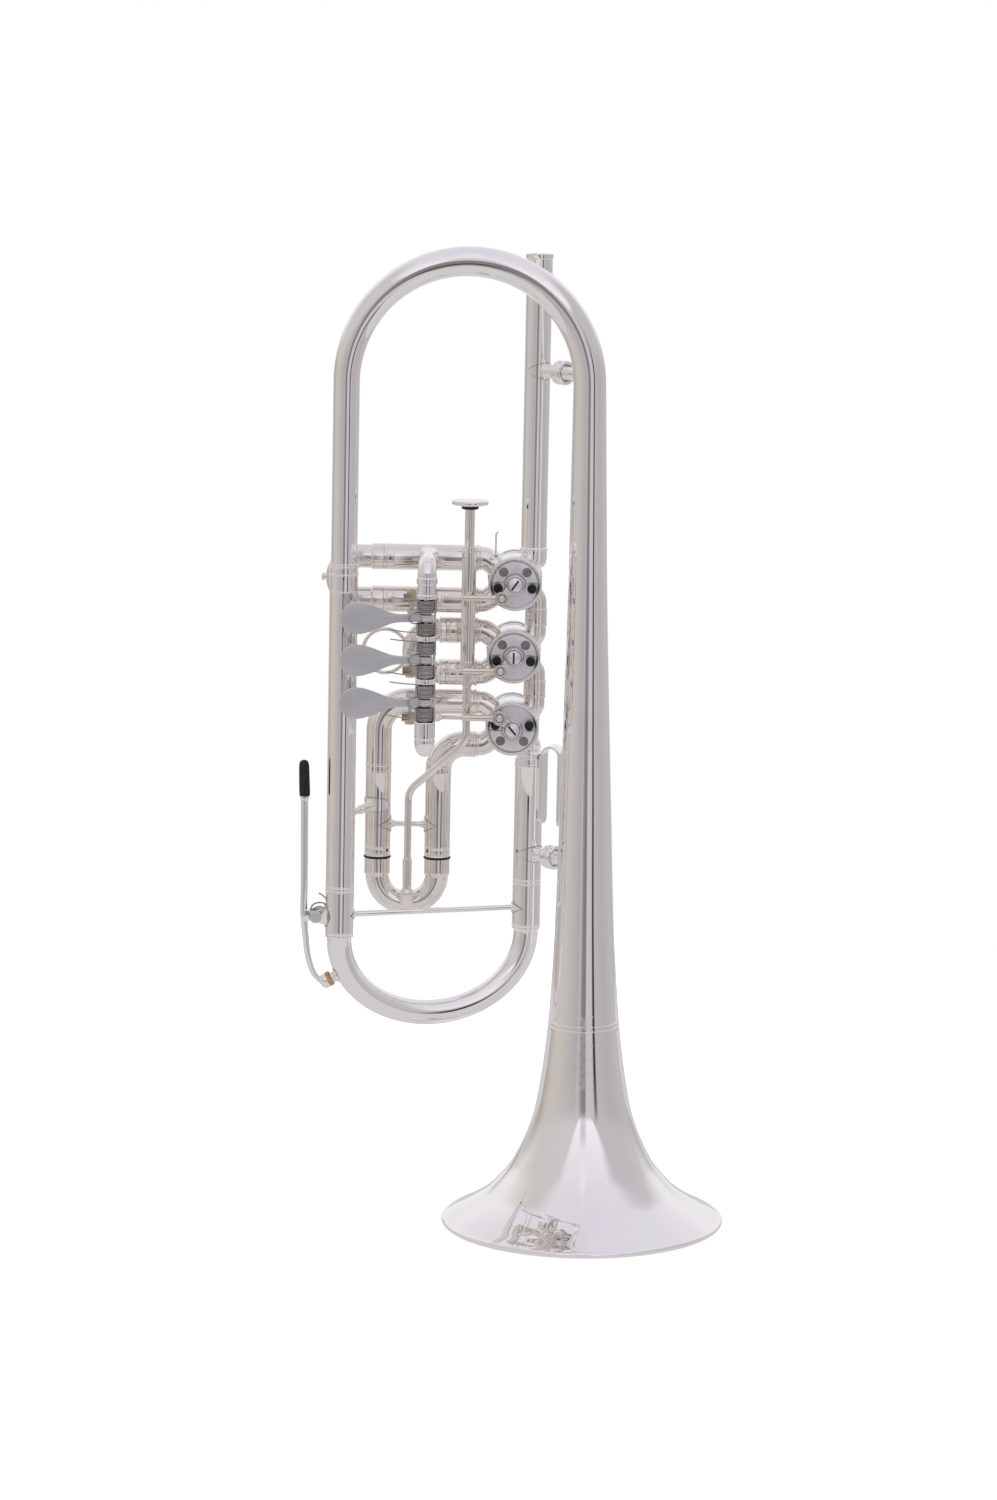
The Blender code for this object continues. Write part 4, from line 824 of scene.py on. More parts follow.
def build_valve(number):
    k = number + 1
    origin = uvw(VALVE_U, 0, VALVE_W[number])
    rotor_body = f"rotor{k}"
    casing = [
        (11.5, 17.5), (CASING_R, 17.5), (CASING_R, 22.0), (13.7, 22.4), (13.7, 23.0), (CASING_R, 23.4),
        (CASING_R, 42.4), (13.7, 42.8), (13.7, 43.4), (CASING_R, 43.8), (CASING_R, 47.0), (11.5, 47.0),
    ]
    piece(f"casing_{k}", [lathe(casing, origin, BACK, 72, 0.2)], "silver", nodes=f"valve_casing_{k}")
    cap = [
        (0, 49.4), (2.8, 49.4), (2.8, 43.8), (11.1, 43.8), (11.1, 47.3), (14.6, 47.3), (14.6, 48.2), (14.2, 48.5),
        (14.6, 48.9), (14.6, 50.4), (13.6, 51.4), (11.5, 51.6), (11.0, 51.2), (4.2, 51.0), (3.8, 51.6), (0, 51.6),
    ]
    knurl = []
    for index in range(60):
        angle = 2 * math.pi * index / 60
        direction = uvw(math.cos(angle), 0, math.sin(angle))
        foot = origin + direction * 14.45
        knurl.append(rod(foot + BACK * 48.9, foot + BACK * 50.4, 0.42, 8, 0))
    piece(f"rear_cap_{k}", [lathe(cap, origin, BACK, 72, 0.25)] + knurl, "silver", nodes=f"valve_cap_{k}")

    away = -STOP_SIDE[number]
    dish = [
        (2.8, 20.2), (2.8, 13.6), (12.1, 13.6), (12.4, 13.2), (12.9, 12.1), (13.2, 11.85), (13.45, 11.75),
        (13.55, 12.0), (13.7, 12.0), (13.85, 11.8), (14.25, 12.1), (14.3, 12.6), (14.3, 17.2), (11.1, 17.2),
        (11.1, 20.2),
    ]
    rim = [(x, away * y) for x, y in arc(11.9, 3, 177, 40) + arc(5.9, 172, 8, 24)]
    place = Matrix.Translation(uvw(VALVE_U, 13.1, VALVE_W[number])) @ Matrix.Rotation(math.pi / 2, 4, "X")
    shelf = plate(rim, place, 1.6, 0.5)
    collar = lathe([(5.0, 13.8), (5.5, 13.8), (5.5, 13.0), (5.25, 12.7), (5.0, 13.0)], origin, BACK, 48, 0.1)
    shapes = [lathe(dish, origin, BACK, 96, 0.12), shelf, collar]
    piece(f"stop_dish_{k}", shapes, "satin", nodes=f"stop_plate_{k}", sharp=25)
    for index, side in enumerate((-1, 1)):
        bumper = origin + uvw(side * 9.0, 0, -away * 2.2)
        profile = [(0, 9.9), (2.0, 9.9), (2.45, 10.3), (2.45, 13.6), (0, 13.6)]
        piece(f"bumper_{k}_{index + 1}", [lathe(profile, bumper, BACK, 32, 0.3)], "rubber")
        plug = origin + uvw(side * 6.2, 0, away * 6.4)
        profile = [(0, 12.1), (2.3, 12.12), (2.55, 12.25), (2.55, 13.0), (0, 13.0)]
        piece(f"plug_{k}_{index + 1}", [lathe(profile, plug, BACK, 32, 0.1)], "grey")

    hub = lathe(
        [(2.9, 9.5), (4.1, 9.5), (4.3, 8.9), (4.6, 8.8), (5.1, 9.4), (5.1, 12.9), (2.9, 12.9)], origin, BACK, 64, 0.15,
    )
    joint = BALLS[number]
    along = uvw(joint.x - VALVE_U, 0, joint.z - VALVE_W[number]).normalized()
    across = along.cross(BACK)
    arm_line = both_sides([(4.0, -2.5), (7.0, -1.9), (9.0, -2.6), (11.6, -2.6), (12.7, -1.4), (12.9, 0)])
    arm = plate(softened(arm_line, 1.2), placed_along(origin + uvw(0, 10.0, 0), along, across, BACK), 2.0, 0.35)
    stud_profile = [
        (0, 3.3), (0.9, 3.35), (1.1, 3.7), (1.6, 3.8), (2.0, 4.3), (2.1, 5.0), (1.9, 5.8), (1.4, 6.6), (1.4, 7.6),
        (2.4, 7.9), (2.4, 9.0), (1.4, 9.2), (1.4, 10.2), (0, 10.2),
    ]
    stud = lathe(stud_profile, uvw(joint.x, 0, joint.z), BACK, 32, 0.2)
    piece(f"stop_lever_{k}", [hub, arm, stud], "satin", rotor_body, f"stop_arm_{k}", sharp=30)

    head = [(0, 6.35), (1.2, 6.42), (2.3, 6.72), (3.2, 7.25), (3.8, 7.9), (4.05, 8.5), (4.05, 9.2), (0, 9.2)]
    screw = lathe(head, origin, BACK, 48, 0.15)
    piece(f"stop_screw_head_{k}", [screw], "satin", rotor_body, f"stop_screw_{k}")
    tilt = math.radians((-35, 0, 40)[number])
    # A black bar laid across the screw head in the rubber material: painted shade standing for the slot.
    slot_shade = block((-0.5, -0.42, -3.0), (0.5, 0.8, 3.0), 0.05)
    turned(slot_shade, Matrix.Translation(origin + uvw(0, 6.75, 0)) @ Matrix.Rotation(-tilt, 4, "Y"))
    piece(f"stop_screw_slot_shade_{k}", [slot_shade], "rubber", rotor_body)

    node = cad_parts.get(f"valve_rotor_{k}")
    if node is not None:
        node.data.materials.clear()
        node.data.materials.append(MATERIALS["brass"])


def build_knuckle(number):
    top = VALVE_W[number]
    low = VALVE_W[number + 1]
    corners = [
        port_start(number, -30), uvw(KNUCKLE_U, PORT_V, top - 10.2), uvw(KNUCKLE_U, PORT_V, low + 10.2),
        port_start(number + 1, 30),
    ]
    points = bent(corners, [6.0, 6.0])
    length = length_of(points)
    middle = length / 2
    rings = beads(middle - 4.6, [1.0, 6.3, 1.0], 0.55)
    rings[1] = (rings[1][0], rings[1][1], 0.3)
    mesh = pipe(points, bands(5.6, rings, length), [(0, 4.8), (length, 4.8)], 40)
    name = f"knuckle_{number + 1}_{number + 2}"
    piece(f"{name}_tube", [mesh], "aged", nodes=name)


# ---------------------------------------------------------------- valve slides

def leg(points, extra=()):
    length = length_of(points)
    outer = [(0, 5.9), (12.6, 6.2), (12.7, 6.6), (13.3, 6.6), (13.4, 6.3), (14.0, 6.3), (14.1, LEG_OUT + 0.4)]
    outer += [(15.0, LEG_OUT + 0.4), (15.1, LEG_OUT), (16.4, LEG_OUT), (16.5, LEG_OUT + 0.3), (17.2, LEG_OUT + 0.3)]
    outer += [(17.3, LEG_OUT)]
    for start, end, rise in [*extra, (length - 5.6, length - 5.1, 0.26), (length - 2.0, length - 1.4, 0.26)]:
        outer += raised(LEG_OUT, start, end, rise)
    outer += [(length - 0.3, LEG_OUT), (length, LEG_OUT - 0.1)]
    inner = [(0, 4.9), (13.5, 5.1), (15.8, LEG_IN), (length, LEG_IN)]
    return pipe(points, outer, inner, 48, 0.2)


def build_straight_legs(number, seam_u):
    for side, word in ((1, "upper"), (-1, "lower")):
        rise = VALVE_W[number] + side * PORT_RISE
        corners = [
            port_start(number, 180 - side * 35), uvw(LEG_STRAIGHT_U, PORT_V, rise), uvw(seam_u + SEAM, PORT_V, rise),
        ]
        name = f"slide{number + 1}_{word}_sleeve"
        piece(f"{name}_tube", [leg(bent(corners, [7.0]))], "aged", nodes=name)


def build_bent_leg(word, side, leg_u, bend):
    rise = VALVE_W[2] + side * PORT_RISE
    corners = [
        port_start(2, 180 - side * 35), uvw(LEG_STRAIGHT_U, PORT_V, rise), uvw(leg_u, PORT_V, rise),
        uvw(leg_u, PORT_V, SLIDE3_SEAM_W + SEAM),
    ]
    points = bent(corners, [6.0, bend])
    length = length_of(points)
    ferrule = length - (SLIDE3_FERRULE_W - SLIDE3_SEAM_W)
    extra = [(ferrule - 4.2, ferrule - 3.5, 0.3), (ferrule - 0.3, ferrule + 0.4, 0.3)]
    name = f"slide3_{word}_sleeve"
    oring_w = SLIDE3_SEAM_W + GAP / 2
    piece(f"{name}_tube", [leg(points, extra)], "aged", nodes=name)
    band = lathe(circle(0.62, 10, LEG_OUT - 0.1), uvw(leg_u, PORT_V, oring_w - 0.6), UP, 48, 0)
    piece(f"slide3_{word}_bumper", [band], "rubber", "slide3")


def slide_outer(length, tongue, ferrule):
    start = [(0, TONGUE_OUT), (tongue - 0.13, TONGUE_OUT), (tongue - 0.1, LEG_OUT)]
    start += [(tongue + ferrule - 1.2, LEG_OUT), (tongue + ferrule - 1.0, LEG_OUT + 0.2)]
    start += [(tongue + ferrule - 0.2, LEG_OUT + 0.15), (tongue + ferrule + 0.4, TONGUE_OUT + 0.1)]
    return symmetric(start, length)


def horizontal_bow(number, seam_u, bow_u, tongue, ferrule):
    top = VALVE_W[number] + PORT_RISE
    low = VALVE_W[number] - PORT_RISE
    start_u = seam_u - GAP / 2 + tongue
    end_u = bow_u - PORT_RISE
    corners = [
        uvw(start_u, PORT_V, top), uvw(end_u, PORT_V, top), uvw(end_u, PORT_V, low), uvw(start_u, PORT_V, low),
    ]
    points = bent(corners, [PORT_RISE - 0.01, PORT_RISE - 0.01])
    length = length_of(points)
    return pipe(points, slide_outer(length, tongue, ferrule), [(0, TONGUE_IN), (length, TONGUE_IN)], 48, 0.2)


def build_slides():
    middle = uvw(SLIDE1_BOW_U, PORT_V, VALVE_W[0])
    knob = lathe(
        [(0, 16.5), (2.6, 16.6), (1.5, 17.6), (1.5, 18.2), (2.3, 18.6), (2.3, 19.2), (1.4, 19.9), (0, 20.0)],
        middle, -RIGHT, 32, 0.2,
    )
    bow = horizontal_bow(0, SLIDE1_SEAM_U, SLIDE1_BOW_U, 34, 6)
    piece("slide1_bow_tube", [bow, knob], "aged", "slide1", "slide1_bow")

    centre = uvw(RING_U, PORT_V, VALVE_W[1] - 0.6)
    ring = lathe(circle(1.05, 12, RING_RADIUS), centre, BACK, 64, 0)
    shapes = [horizontal_bow(1, SLIDE2_SEAM_U, SLIDE2_BOW_U, 14, 3.5), ring]
    fork = uvw(SLIDE2_BOW_U - 16.6, PORT_V, centre.z)
    for side in (1, -1):
        start, middle_point = moved(centre, (RING_RADIUS - 0.6, 0, 2.2 * side), (RING_RADIUS + 0.8, 0, 2.3 * side))
        shapes.append(wire([start, middle_point, fork + uvw(1.6, 0, 2.8 * side)], 0.8))
    shapes.append(rod(centre + uvw(RING_RADIUS, 0, 0), fork + uvw(0.8, 0, 0), 1.3))
    piece("slide2_bow_tube", shapes, "aged", "slide2", "slide2_bow_with_ring")

    half = (SLIDE3_RIGHT_U - SLIDE3_LEFT_U) / 2
    left = uvw(SLIDE3_LEFT_U, PORT_V, 0)
    right = uvw(SLIDE3_RIGHT_U, PORT_V, 0)
    tongue = 38
    top = uvw(0, 0, SLIDE3_SEAM_W - GAP / 2 + tongue)
    bottom = uvw(0, 0, SLIDE3_BOW_W - half)
    points = bent([left + top, left + bottom, right + bottom, right + top], [half - 0.01, half - 0.01])
    length = length_of(points)
    bow = pipe(points, slide_outer(length, tongue, 9.5), [(0, TONGUE_IN), (length, TONGUE_IN)], 48, 0.2)
    piece("slide3_bow_tube", [bow], "aged", "slide3", "slide3_bow")

    start = uvw(SLIDE3_LEFT_U + LEG_OUT - 0.1, PORT_V, SLIDE3_BRACE_W)
    span = 2 * half - 2 * (LEG_OUT - 0.1)
    mid = span / 2
    profile = [
        (0, 0), (2.3, 0), (2.3, 1.0), (1.9, 1.3), (1.9, 2.4), (1.4, 2.6), (1.4, mid - 1.2), (1.8, mid - 0.9),
        (1.8, mid + 0.9), (1.4, mid + 1.2), (1.4, span - 2.6), (1.9, span - 2.4), (1.9, span - 1.3),
        (2.3, span - 1.0), (2.3, span), (0, span),
    ]
    shapes = [lathe(profile, start, RIGHT, 32, 0.2)]
    for leg_u, side in ((SLIDE3_LEFT_U, 1), (SLIDE3_RIGHT_U, -1)):
        shapes.append(fitted_leaf(uvw(leg_u, PORT_V, SLIDE3_BRACE_W), RIGHT * side, LEG_OUT, math.radians(85), 4.4, 1))
    piece("slide3_cross_brace", shapes, "aged", nodes="slide3_brace")


# ---------------------------------------------------------------- trigger

def build_trigger():
    origin = uvw(TRIGGER_U, TRIGGER_V, 0)
    guide = [
        (2.3, GUIDE_LOW), (3.85, GUIDE_LOW), (3.85, GUIDE_LOW + 0.6), (4.15, GUIDE_LOW + 0.8), (4.15, GUIDE_LOW + 2.2),
        (3.85, GUIDE_LOW + 2.5), (3.85, 361.2), (4.35, 361.5), (4.35, GUIDE_HIGH),
        (2.95, GUIDE_HIGH), (2.95, GUIDE_LOW + 1.2), (2.3, GUIDE_LOW + 1.2),
    ]
    shapes = [lathe(guide, origin, UP, 48, 0.12)]
    for height in (VALVE_W[0] + PORT_RISE, VALVE_W[1] + PORT_RISE):
        foot = PORT_V - LEG_OUT - 0.2
        span = foot - TRIGGER_V - 3.2
        profile = [
            (0, 0), (2.9, 0), (2.4, 1.0), (1.7, 1.8), (1.7, span - 2.6), (2.4, span - 1.6), (3.4, span - 0.6),
            (3.4, span), (0, span),
        ]
        shapes.append(lathe(profile, uvw(TRIGGER_U, TRIGGER_V + 3.2, height), BACK, 32))
    piece("trigger_tube", shapes, "aged", nodes="trigger_guide")

    top = BUTTON_TOP_W - 3.6
    corners = [
        uvw(TRIGGER_U, TRIGGER_V, top), uvw(TRIGGER_U, TRIGGER_V, 258.5), uvw(TRIGGER_LOW_U, TRIGGER_BALL_V, 230.5),
        uvw(TRIGGER_LOW_U, TRIGGER_BALL_V, 173.4),
    ]
    points = bent(corners, [12.0, 12.0])
    length = length_of(points)
    outer = [
        (0, 2.65), (top - 351.2, 2.65), (top - 350.8, 2.05), (top - 290.3, 2.05), (top - 290, 2.6), (top - 289, 2.6),
        (top - 288.7, 2.3), (top - 279.3, 2.3), (top - 279, 2.6), (top - 278, 2.6), (top - 277.7, 2.05),
        (length - 20.2, 1.85), (length - 20, 2.5), (length - 4.6, 2.35), (length, 2.3),
    ]
    centre = uvw(TRIGGER_LOW_U, TRIGGER_BALL_V, 174.3)
    bow_bottom = uvw(TRIGGER_LOW_U, PORT_V, SLIDE3_BOW_W - (SLIDE3_RIGHT_U - SLIDE3_LEFT_U) / 2)
    toward = (bow_bottom - centre).normalized()
    reach = (bow_bottom - centre).length - TONGUE_OUT + 0.1
    foot = [
        (0, 1.5), (2.4, 2.2), (2.0, reach - 3.2), (2.3, reach - 2.2), (3.6, reach - 1.0), (4.4, reach), (0, reach),
    ]
    shapes = [pipe(points, outer, sides=32, soft=0.15), ball(centre, 3.7), lathe(foot, centre, toward, 32)]
    piece("trigger_linkage", shapes, "aged", "slide3", "trigger_rod")

    low = BUTTON_TOP_W - 3.3
    button = [
        (0, low), (4.9, low), (5.2, low + 0.3), (9.0, low + 0.6), (9.8, low + 1.1), (10.0, low + 1.9),
        (9.9, low + 2.7), (9.5, low + 3.1), (7.6, low + 3.3), (4.0, low + 3.0), (0, low + 2.85),
    ]
    piece("trigger_thumb_button", [lathe(button, origin, UP, 72, 0.3)], "silver", "slide3", "trigger_button")
    ring = [(2.7, low - 1.6), (4.0, low - 1.6), (4.6, low - 1.1), (4.6, low - 0.1), (2.7, low - 0.1)]
    piece("trigger_bumper", [lathe(ring, origin, UP, 40, 0.3)], "rubber", "slide3")


# ---------------------------------------------------------------- finger levers

def paddle_outline():
    """A teardrop: round tip, widest near it, drawn in to the neck."""
    tip_radius = 8.35
    neck = 2.1
    centre = 45.4 - tip_radius
    outline = [(centre + x, y) for x, y in arc(tip_radius, -90, 90, 32)]
    flank = []
    for index in range(1, 21):
        share = index / 20
        width = neck + (tip_radius - neck) * (0.5 + 0.5 * math.cos(math.pi * share)) ** 1.12
        flank.append((centre - 25 * share, width))
    flank.append((2.6, neck))
    return outline + flank + [(x, -y) for x, y in reversed(flank)]


def build_lever(number):
    k = number + 1
    body = f"lever{k}"
    height = LEVER_W[number]
    origin = uvw(AXLE_U, AXLE_V, height)
    collar = [
        (1.75, -1.8), (3.3, -1.8), (3.6, -1.5), (3.6, -0.6), (3.45, -0.4), (3.45, 0.4), (3.6, 0.6), (3.6, 1.5),
        (3.3, 1.8), (1.75, 1.8),
    ]
    out = uvw(-math.cos(PADDLE_TILT), -math.sin(PADDLE_TILT), 0)
    face = out.cross(UP)
    paddle = plate(paddle_outline(), placed_along(origin, out, UP, face), 1.8, 0.55)
    for vert in paddle.verts:
        local = vert.co - origin
        away = local.dot(out) - 36.7
        rise = local.dot(UP)
        spread = math.hypot(away * 0.8, rise) / 9.0
        if spread < 1 and away > -16:
            vert.co += face * (0.25 * (1 - spread * spread))
    back = uvw(-math.sin(LEVER_REST), math.cos(LEVER_REST), 0)
    side = UP.cross(back)
    tip = LEVER_REACH
    arm_line = both_sides(
        [(2.6, -2.3), (9, -1.9), (tip - 4, -1.6), (tip - 1, -2.4), (tip + 1.4, -1.9), (tip + 2.1, 0)]
    )
    arm = plate(softened(arm_line, 1.5), placed_along(origin, back, side, UP), 2.8, 0.4)
    link_w = BALLS[number].z
    away = 1 if link_w > height else -1
    foot = origin + back * tip
    end = uvw(foot.x, foot.y, link_w + away * 2.9)
    shapes = [lathe(collar, origin, UP, 48, 0.15), paddle, arm, rod(foot - UP * away * 1.8, end, 1.0, 24)]
    shapes.append(rod(foot - UP * away * 2.3, foot - UP * away * 1.2, 1.9, 24, 0.3))
    piece(f"lever_{k}", shapes, "frost", body, f"finger_lever_{k}", sharp=30)


def build_link(number):
    k = number + 1
    joint = BALLS[number]
    centre = uvw(joint.x, joint.y, joint.z)
    pin = uvw(AXLE_U - LEVER_REACH * math.sin(LEVER_REST), LINK_V, joint.z)
    span = centre.x - pin.x
    eye = lathe(
        [
            (2.5, 0.2), (2.5, -1.7), (2.9, -2.1), (3.5, -2.1), (3.8, -1.7), (3.8, 1.7), (3.4, 2.1), (2.6, 2.1),
            (2.5, 1.0), (2.2, 0.9), (2.2, 0.2),
        ],
        centre, BACK, 56, 0.12,
    )
    shank = [
        (0, 3.2), (2.0, 3.2), (2.0, 4.6), (1.7, 5.0), (1.7, 20.0), (1.1, 20.4), (1.1, span - 17.0), (0, span - 17.0),
    ]
    hexagon = [(0, 0), (2.0, 0), (2.5, 0.5), (2.5, 3.0), (2.0, 3.5), (0, 3.5)]
    shapes = [
        eye, lathe(shank, centre, -RIGHT, 32, 0.2), lathe(hexagon, pin + RIGHT * 12.6, RIGHT, 6, 0.1),
        rod(pin + RIGHT * 3.6, pin + RIGHT * 17.2, 1.5, 24),
    ]
    away = 1 if joint.z > LEVER_W[number] else -1
    outline = softened([(-4.2, -3.1), (4.2, -3.1), (4.2, 3.1), (-4.2, 3.1)], 1.2)
    holed = holed_plate(outline, circle(1.95, 24), Matrix.Translation(pin), 4.3, 0.35)
    nut = [(1.95, 1.9), (2.5, 1.9), (2.9, 2.2), (2.9, 3.6), (2.5, 4.0), (1.95, 4.0)]
    brass = [holed, lathe(nut, pin, UP * away, 6, 0.15)]
    piece(f"push_rod_{k}", shapes, "nickel", f"link{k}", f"valve_link_{k}", sharp=30)
    piece(f"push_rod_block_{k}", brass, "brass", f"link{k}", sharp=30)


def holed_plate(outline, hole, place, thickness, bevel):
    """A plate with one hole through it, both given as outlines."""
    mesh = bmesh.new()
    loops = []
    for line in (outline, hole):
        verts = [mesh.verts.new((x, y, -thickness / 2)) for x, y in line]
        for index, vert in enumerate(verts):
            mesh.edges.new((vert, verts[(index + 1) % len(verts)]))
        loops.append(verts)
    bmesh.ops.triangle_fill(mesh, use_beauty=True, edges=mesh.edges[:])
    for item in bmesh.ops.extrude_face_region(mesh, geom=mesh.faces[:])["geom"]:
        if isinstance(item, bmesh.types.BMVert):
            item.co.z = thickness / 2
    rim = []
    for edge in mesh.edges:
        if len(edge.link_faces) == 2 and edge.calc_face_angle(0) > math.radians(50):
            rim.append(edge)
    bmesh.ops.bevel(mesh, geom=rim, offset=bevel, segments=3, profile=0.5, affect="EDGES", clamp_overlap=True)
    bmesh.ops.transform(mesh, matrix=place, verts=mesh.verts)
    return mesh


def build_lever_spring(number):
    k = number + 1
    collar_low = LEVER_W[number] - 2.3
    collar_high = LEVER_W[number] + 2.3
    ends = [TROUGH_HIGH - 3.2] + [post - 1.4 for post in POST_W]
    floors = [post + 1.4 for post in POST_W] + [TROUGH_LOW + 9]
    origin = uvw(AXLE_U, AXLE_V, 0)
    shapes = []
    thick = 0.36
    for bottom, top in ((collar_high, ends[number] - 0.4), (floors[number] + 0.4, collar_low)):
        height = top - bottom - 2 * thick
        shapes.append(coil(origin + UP * (bottom + thick), UP, 3.74, thick, round(height / 0.76), height))
    half = [(-3.5, 1.2, 2.7), (-5.0, -1.6, 2.9), (-7.6, -3.4, 2.4), (-8.6, -3.9, 0.6)]
    loop = moved(origin + UP * LEVER_W[number], *half, *((u, v, -w) for u, v, w in reversed(half)))
    shapes.append(wire(loop, 0.34))
    for height, reach, lift in ((ends[number] - 1.0, 19.0, 0.6), (floors[number] + 1.0, 20.5, 1.1)):
        tail = ((-1.0, 3.5, 0), (-5.0, 4.0, 0), (-12.0, 5.6, 0.1), (-reach, 7.4, lift))
        shapes.append(wire(moved(origin + UP * height, *tail), 0.34))
    piece(f"coil_spring_{k}", shapes, "steel", nodes=f"lever_spring_{k}")


def build_saddle():
    origin = uvw(AXLE_U, AXLE_V, 0)
    axle = rod(origin + UP * 265.3, origin + UP * 346.2, AXLE_R, 32)
    piece("axle_rod", [axle], "steel", nodes="lever_axle")
    shapes = []
    walls = ((TROUGH_LOW, 282.5), (287.9, 305.1), (310.5, 327.2), (332.6, TROUGH_HIGH))
    for low, high in walls:
        outline = [(y, x) for x, y in arc(5.3, -88, 88, 22) + arc(4.3, 88, -88, 22)]
        place = Matrix.Translation(uvw(AXLE_U, AXLE_V, (low + high) / 2))
        shapes.append(plate(outline, place, high - low, 0))
    rail = [(-0.9, -0.35), (0.9, -0.35), (0.9, 0.35), (-0.9, 0.35)]
    rails = [(62, TROUGH_LOW, TROUGH_HIGH)] + [(24, low, high) for low, high in walls]
    for degrees, low, high in rails:
        angle = math.radians(degrees)
        spot = uvw(AXLE_U + 5.0 * math.sin(angle), AXLE_V + 5.0 * math.cos(angle), (low + high) / 2)
        place = Matrix.Translation(spot) @ Matrix.Rotation(-angle, 4, "Z")
        shapes.append(plate(softened(rail, 0.2), place, high - low, 0))
    for post in POST_W:
        ring = [
            (1.75, post - 1.4), (4.9, post - 1.4), (5.4, post - 1.1), (5.4, post + 1.1), (4.9, post + 1.4),
            (1.75, post + 1.4),
        ]
        shapes.append(lathe(ring, origin, UP, 48, 0.15))
    lower = [
        (5.45, 265.5), (5.2, 265.8), (5.2, 266.2), (5.45, 266.5), (5.45, 274.6), (5.2, 275.0), (1.75, 275.0),
        (1.75, 267.0), (0, 267.0),
    ]
    bullet = []
    for index in range(17):
        angle = math.pi / 2 * index / 16
        bullet.append((5.45 * math.sin(angle) ** 0.8, 265.4 - 8.9 * math.cos(angle)))
    shapes.append(lathe(bullet + lower, origin, UP, 56, 0.1))
    upper = [
        (1.75, 340.0), (5.1, 340.0), (5.5, 340.3), (5.5, 342.0), (4.9, 342.3), (4.9, 347.6), (5.5, 347.9),
        (5.5, 350.9), (5.0, 351.2), (5.0, ARM_W - 3), (0, ARM_W - 3), (0, 346.5), (1.75, 346.5),
    ]
    shapes.append(lathe(upper, origin, UP, 56, 0.2))
    leg_front = PORT_V - LEG_OUT - 0.2
    corners = [uvw(AXLE_U, AXLE_V, ARM_W - 7), uvw(AXLE_U, AXLE_V, ARM_W), uvw(AXLE_U, leg_front, ARM_W)]
    arm = bent(corners, [6.5])
    length = length_of(arm)
    shapes.append(pipe(arm, [(0, 4.95), (8, 4.95), (length - 6, 4.1), (length - 2, 4.6), (length, 5.4)], sides=48))
    under = [
        (0, -3.0), (3.4, -3.0), (3.4, 2.0), (2.4, 4.0), (2.2, 30.0), (3.0, 38.0), (3.6, 24.0 - AXLE_V),
        (0, 24.0 - AXLE_V),
    ]
    shapes.append(lathe(under, uvw(AXLE_U, AXLE_V, 261.2), BACK, 40, 0.3))
    shapes.append(block((AXLE_U - 3.4, 22.2, 258.6), (AXLE_U + 3.4, leg_front, 281.0), 0.9))
    piece("lever_bracket", shapes, "silver", nodes="lever_saddle")


# ---------------------------------------------------------------- braces, hooks, water key

def build_bell_brace(name, node, height, tube_r, bell_r):
    start_axis = uvw(LEAD_U, PORT_V, height)
    end_axis = uvw(-height * math.tan(LEAN), 0, height)
    along = (end_axis - start_axis).normalized()
    length = (end_axis - start_axis).length - tube_r - bell_r + 0.8
    start = start_axis + along * (tube_r - 0.4)
    disc = length * 0.55
    discs = [
        (3.3, -5.0), (4.0, -4.5), (5.9, -4.2), (6.4, -3.5), (6.5, -2.6), (6.2, -2.0), (5.2, -1.7), (5.0, -1.2),
        (5.2, -0.7), (6.2, -0.4), (6.6, 0.3), (6.6, 1.6), (6.1, 2.3), (4.9, 2.5), (4.6, 2.0), (4.0, 2.0), (3.7, 2.6),
    ]
    foot = [(2.6, -2.2), (2.8, -1.4), (3.6, -0.4), (3.6, 0), (0, 0)]
    profile = [(0, 0), (3.7, 0), (3.7, 3.2), (3.3, 3.6)] + [(radius, disc + height) for radius, height in discs]
    profile += [(radius, length + height) for radius, height in foot]
    shapes = [lathe(profile, start, along, 56, 0.25)]
    flat = uvw(along.x, along.y, 0).normalized()
    shapes.append(fitted_leaf(start_axis, flat, tube_r, math.radians(94), 4.3, 1.8))
    shapes.append(fitted_leaf(end_axis, -flat, bell_r, math.radians(26), 4.3, 1.8))
    # A thin dark ring in the recess between the discs: painted shade in the groove.
    groove_shade = [(3.95, disc + 2.05), (4.65, disc + 2.05), (4.65, disc + 1.9), (3.95, disc + 1.9)]
    SHADE_SHELLS["body"].append(lathe(groove_shade, start, along, 48, 0))
    piece(name, shapes, "silver", nodes=node)


def ribbon(points, across, half_width, thick):
    """A flat strip along points, with rounded ends."""
    mesh = bmesh.new()
    dense = []
    for first, second in zip(points, points[1:]):
        dense += [first.lerp(second, step / 4) for step in range(4)]
    dense.append(points[-1])
    total = length_of(dense)
    done = 0.0
    rings = []
    for index, point in enumerate(dense):
        if index:
            done += (point - dense[index - 1]).length
        tangent = (dense[min(index + 1, len(dense) - 1)] - dense[max(index - 1, 0)]).normalized()
        normal = tangent.cross(across)
        near = min(done, total - done, 3.0)
        wide = half_width - 3.0 + math.sqrt(9.0 - (3.0 - near) ** 2)
        corners = softened([(-wide, -thick / 2), (wide, -thick / 2), (wide, thick / 2), (-wide, thick / 2)], 0.45)
        rings.append([mesh.verts.new(point + across * x + normal * y) for x, y in corners])
    for first, second in zip(rings, rings[1:]):
        bridge(mesh, first, second)
    for end in (0, -1):
        mesh.faces.new(rings[end])
    return mesh


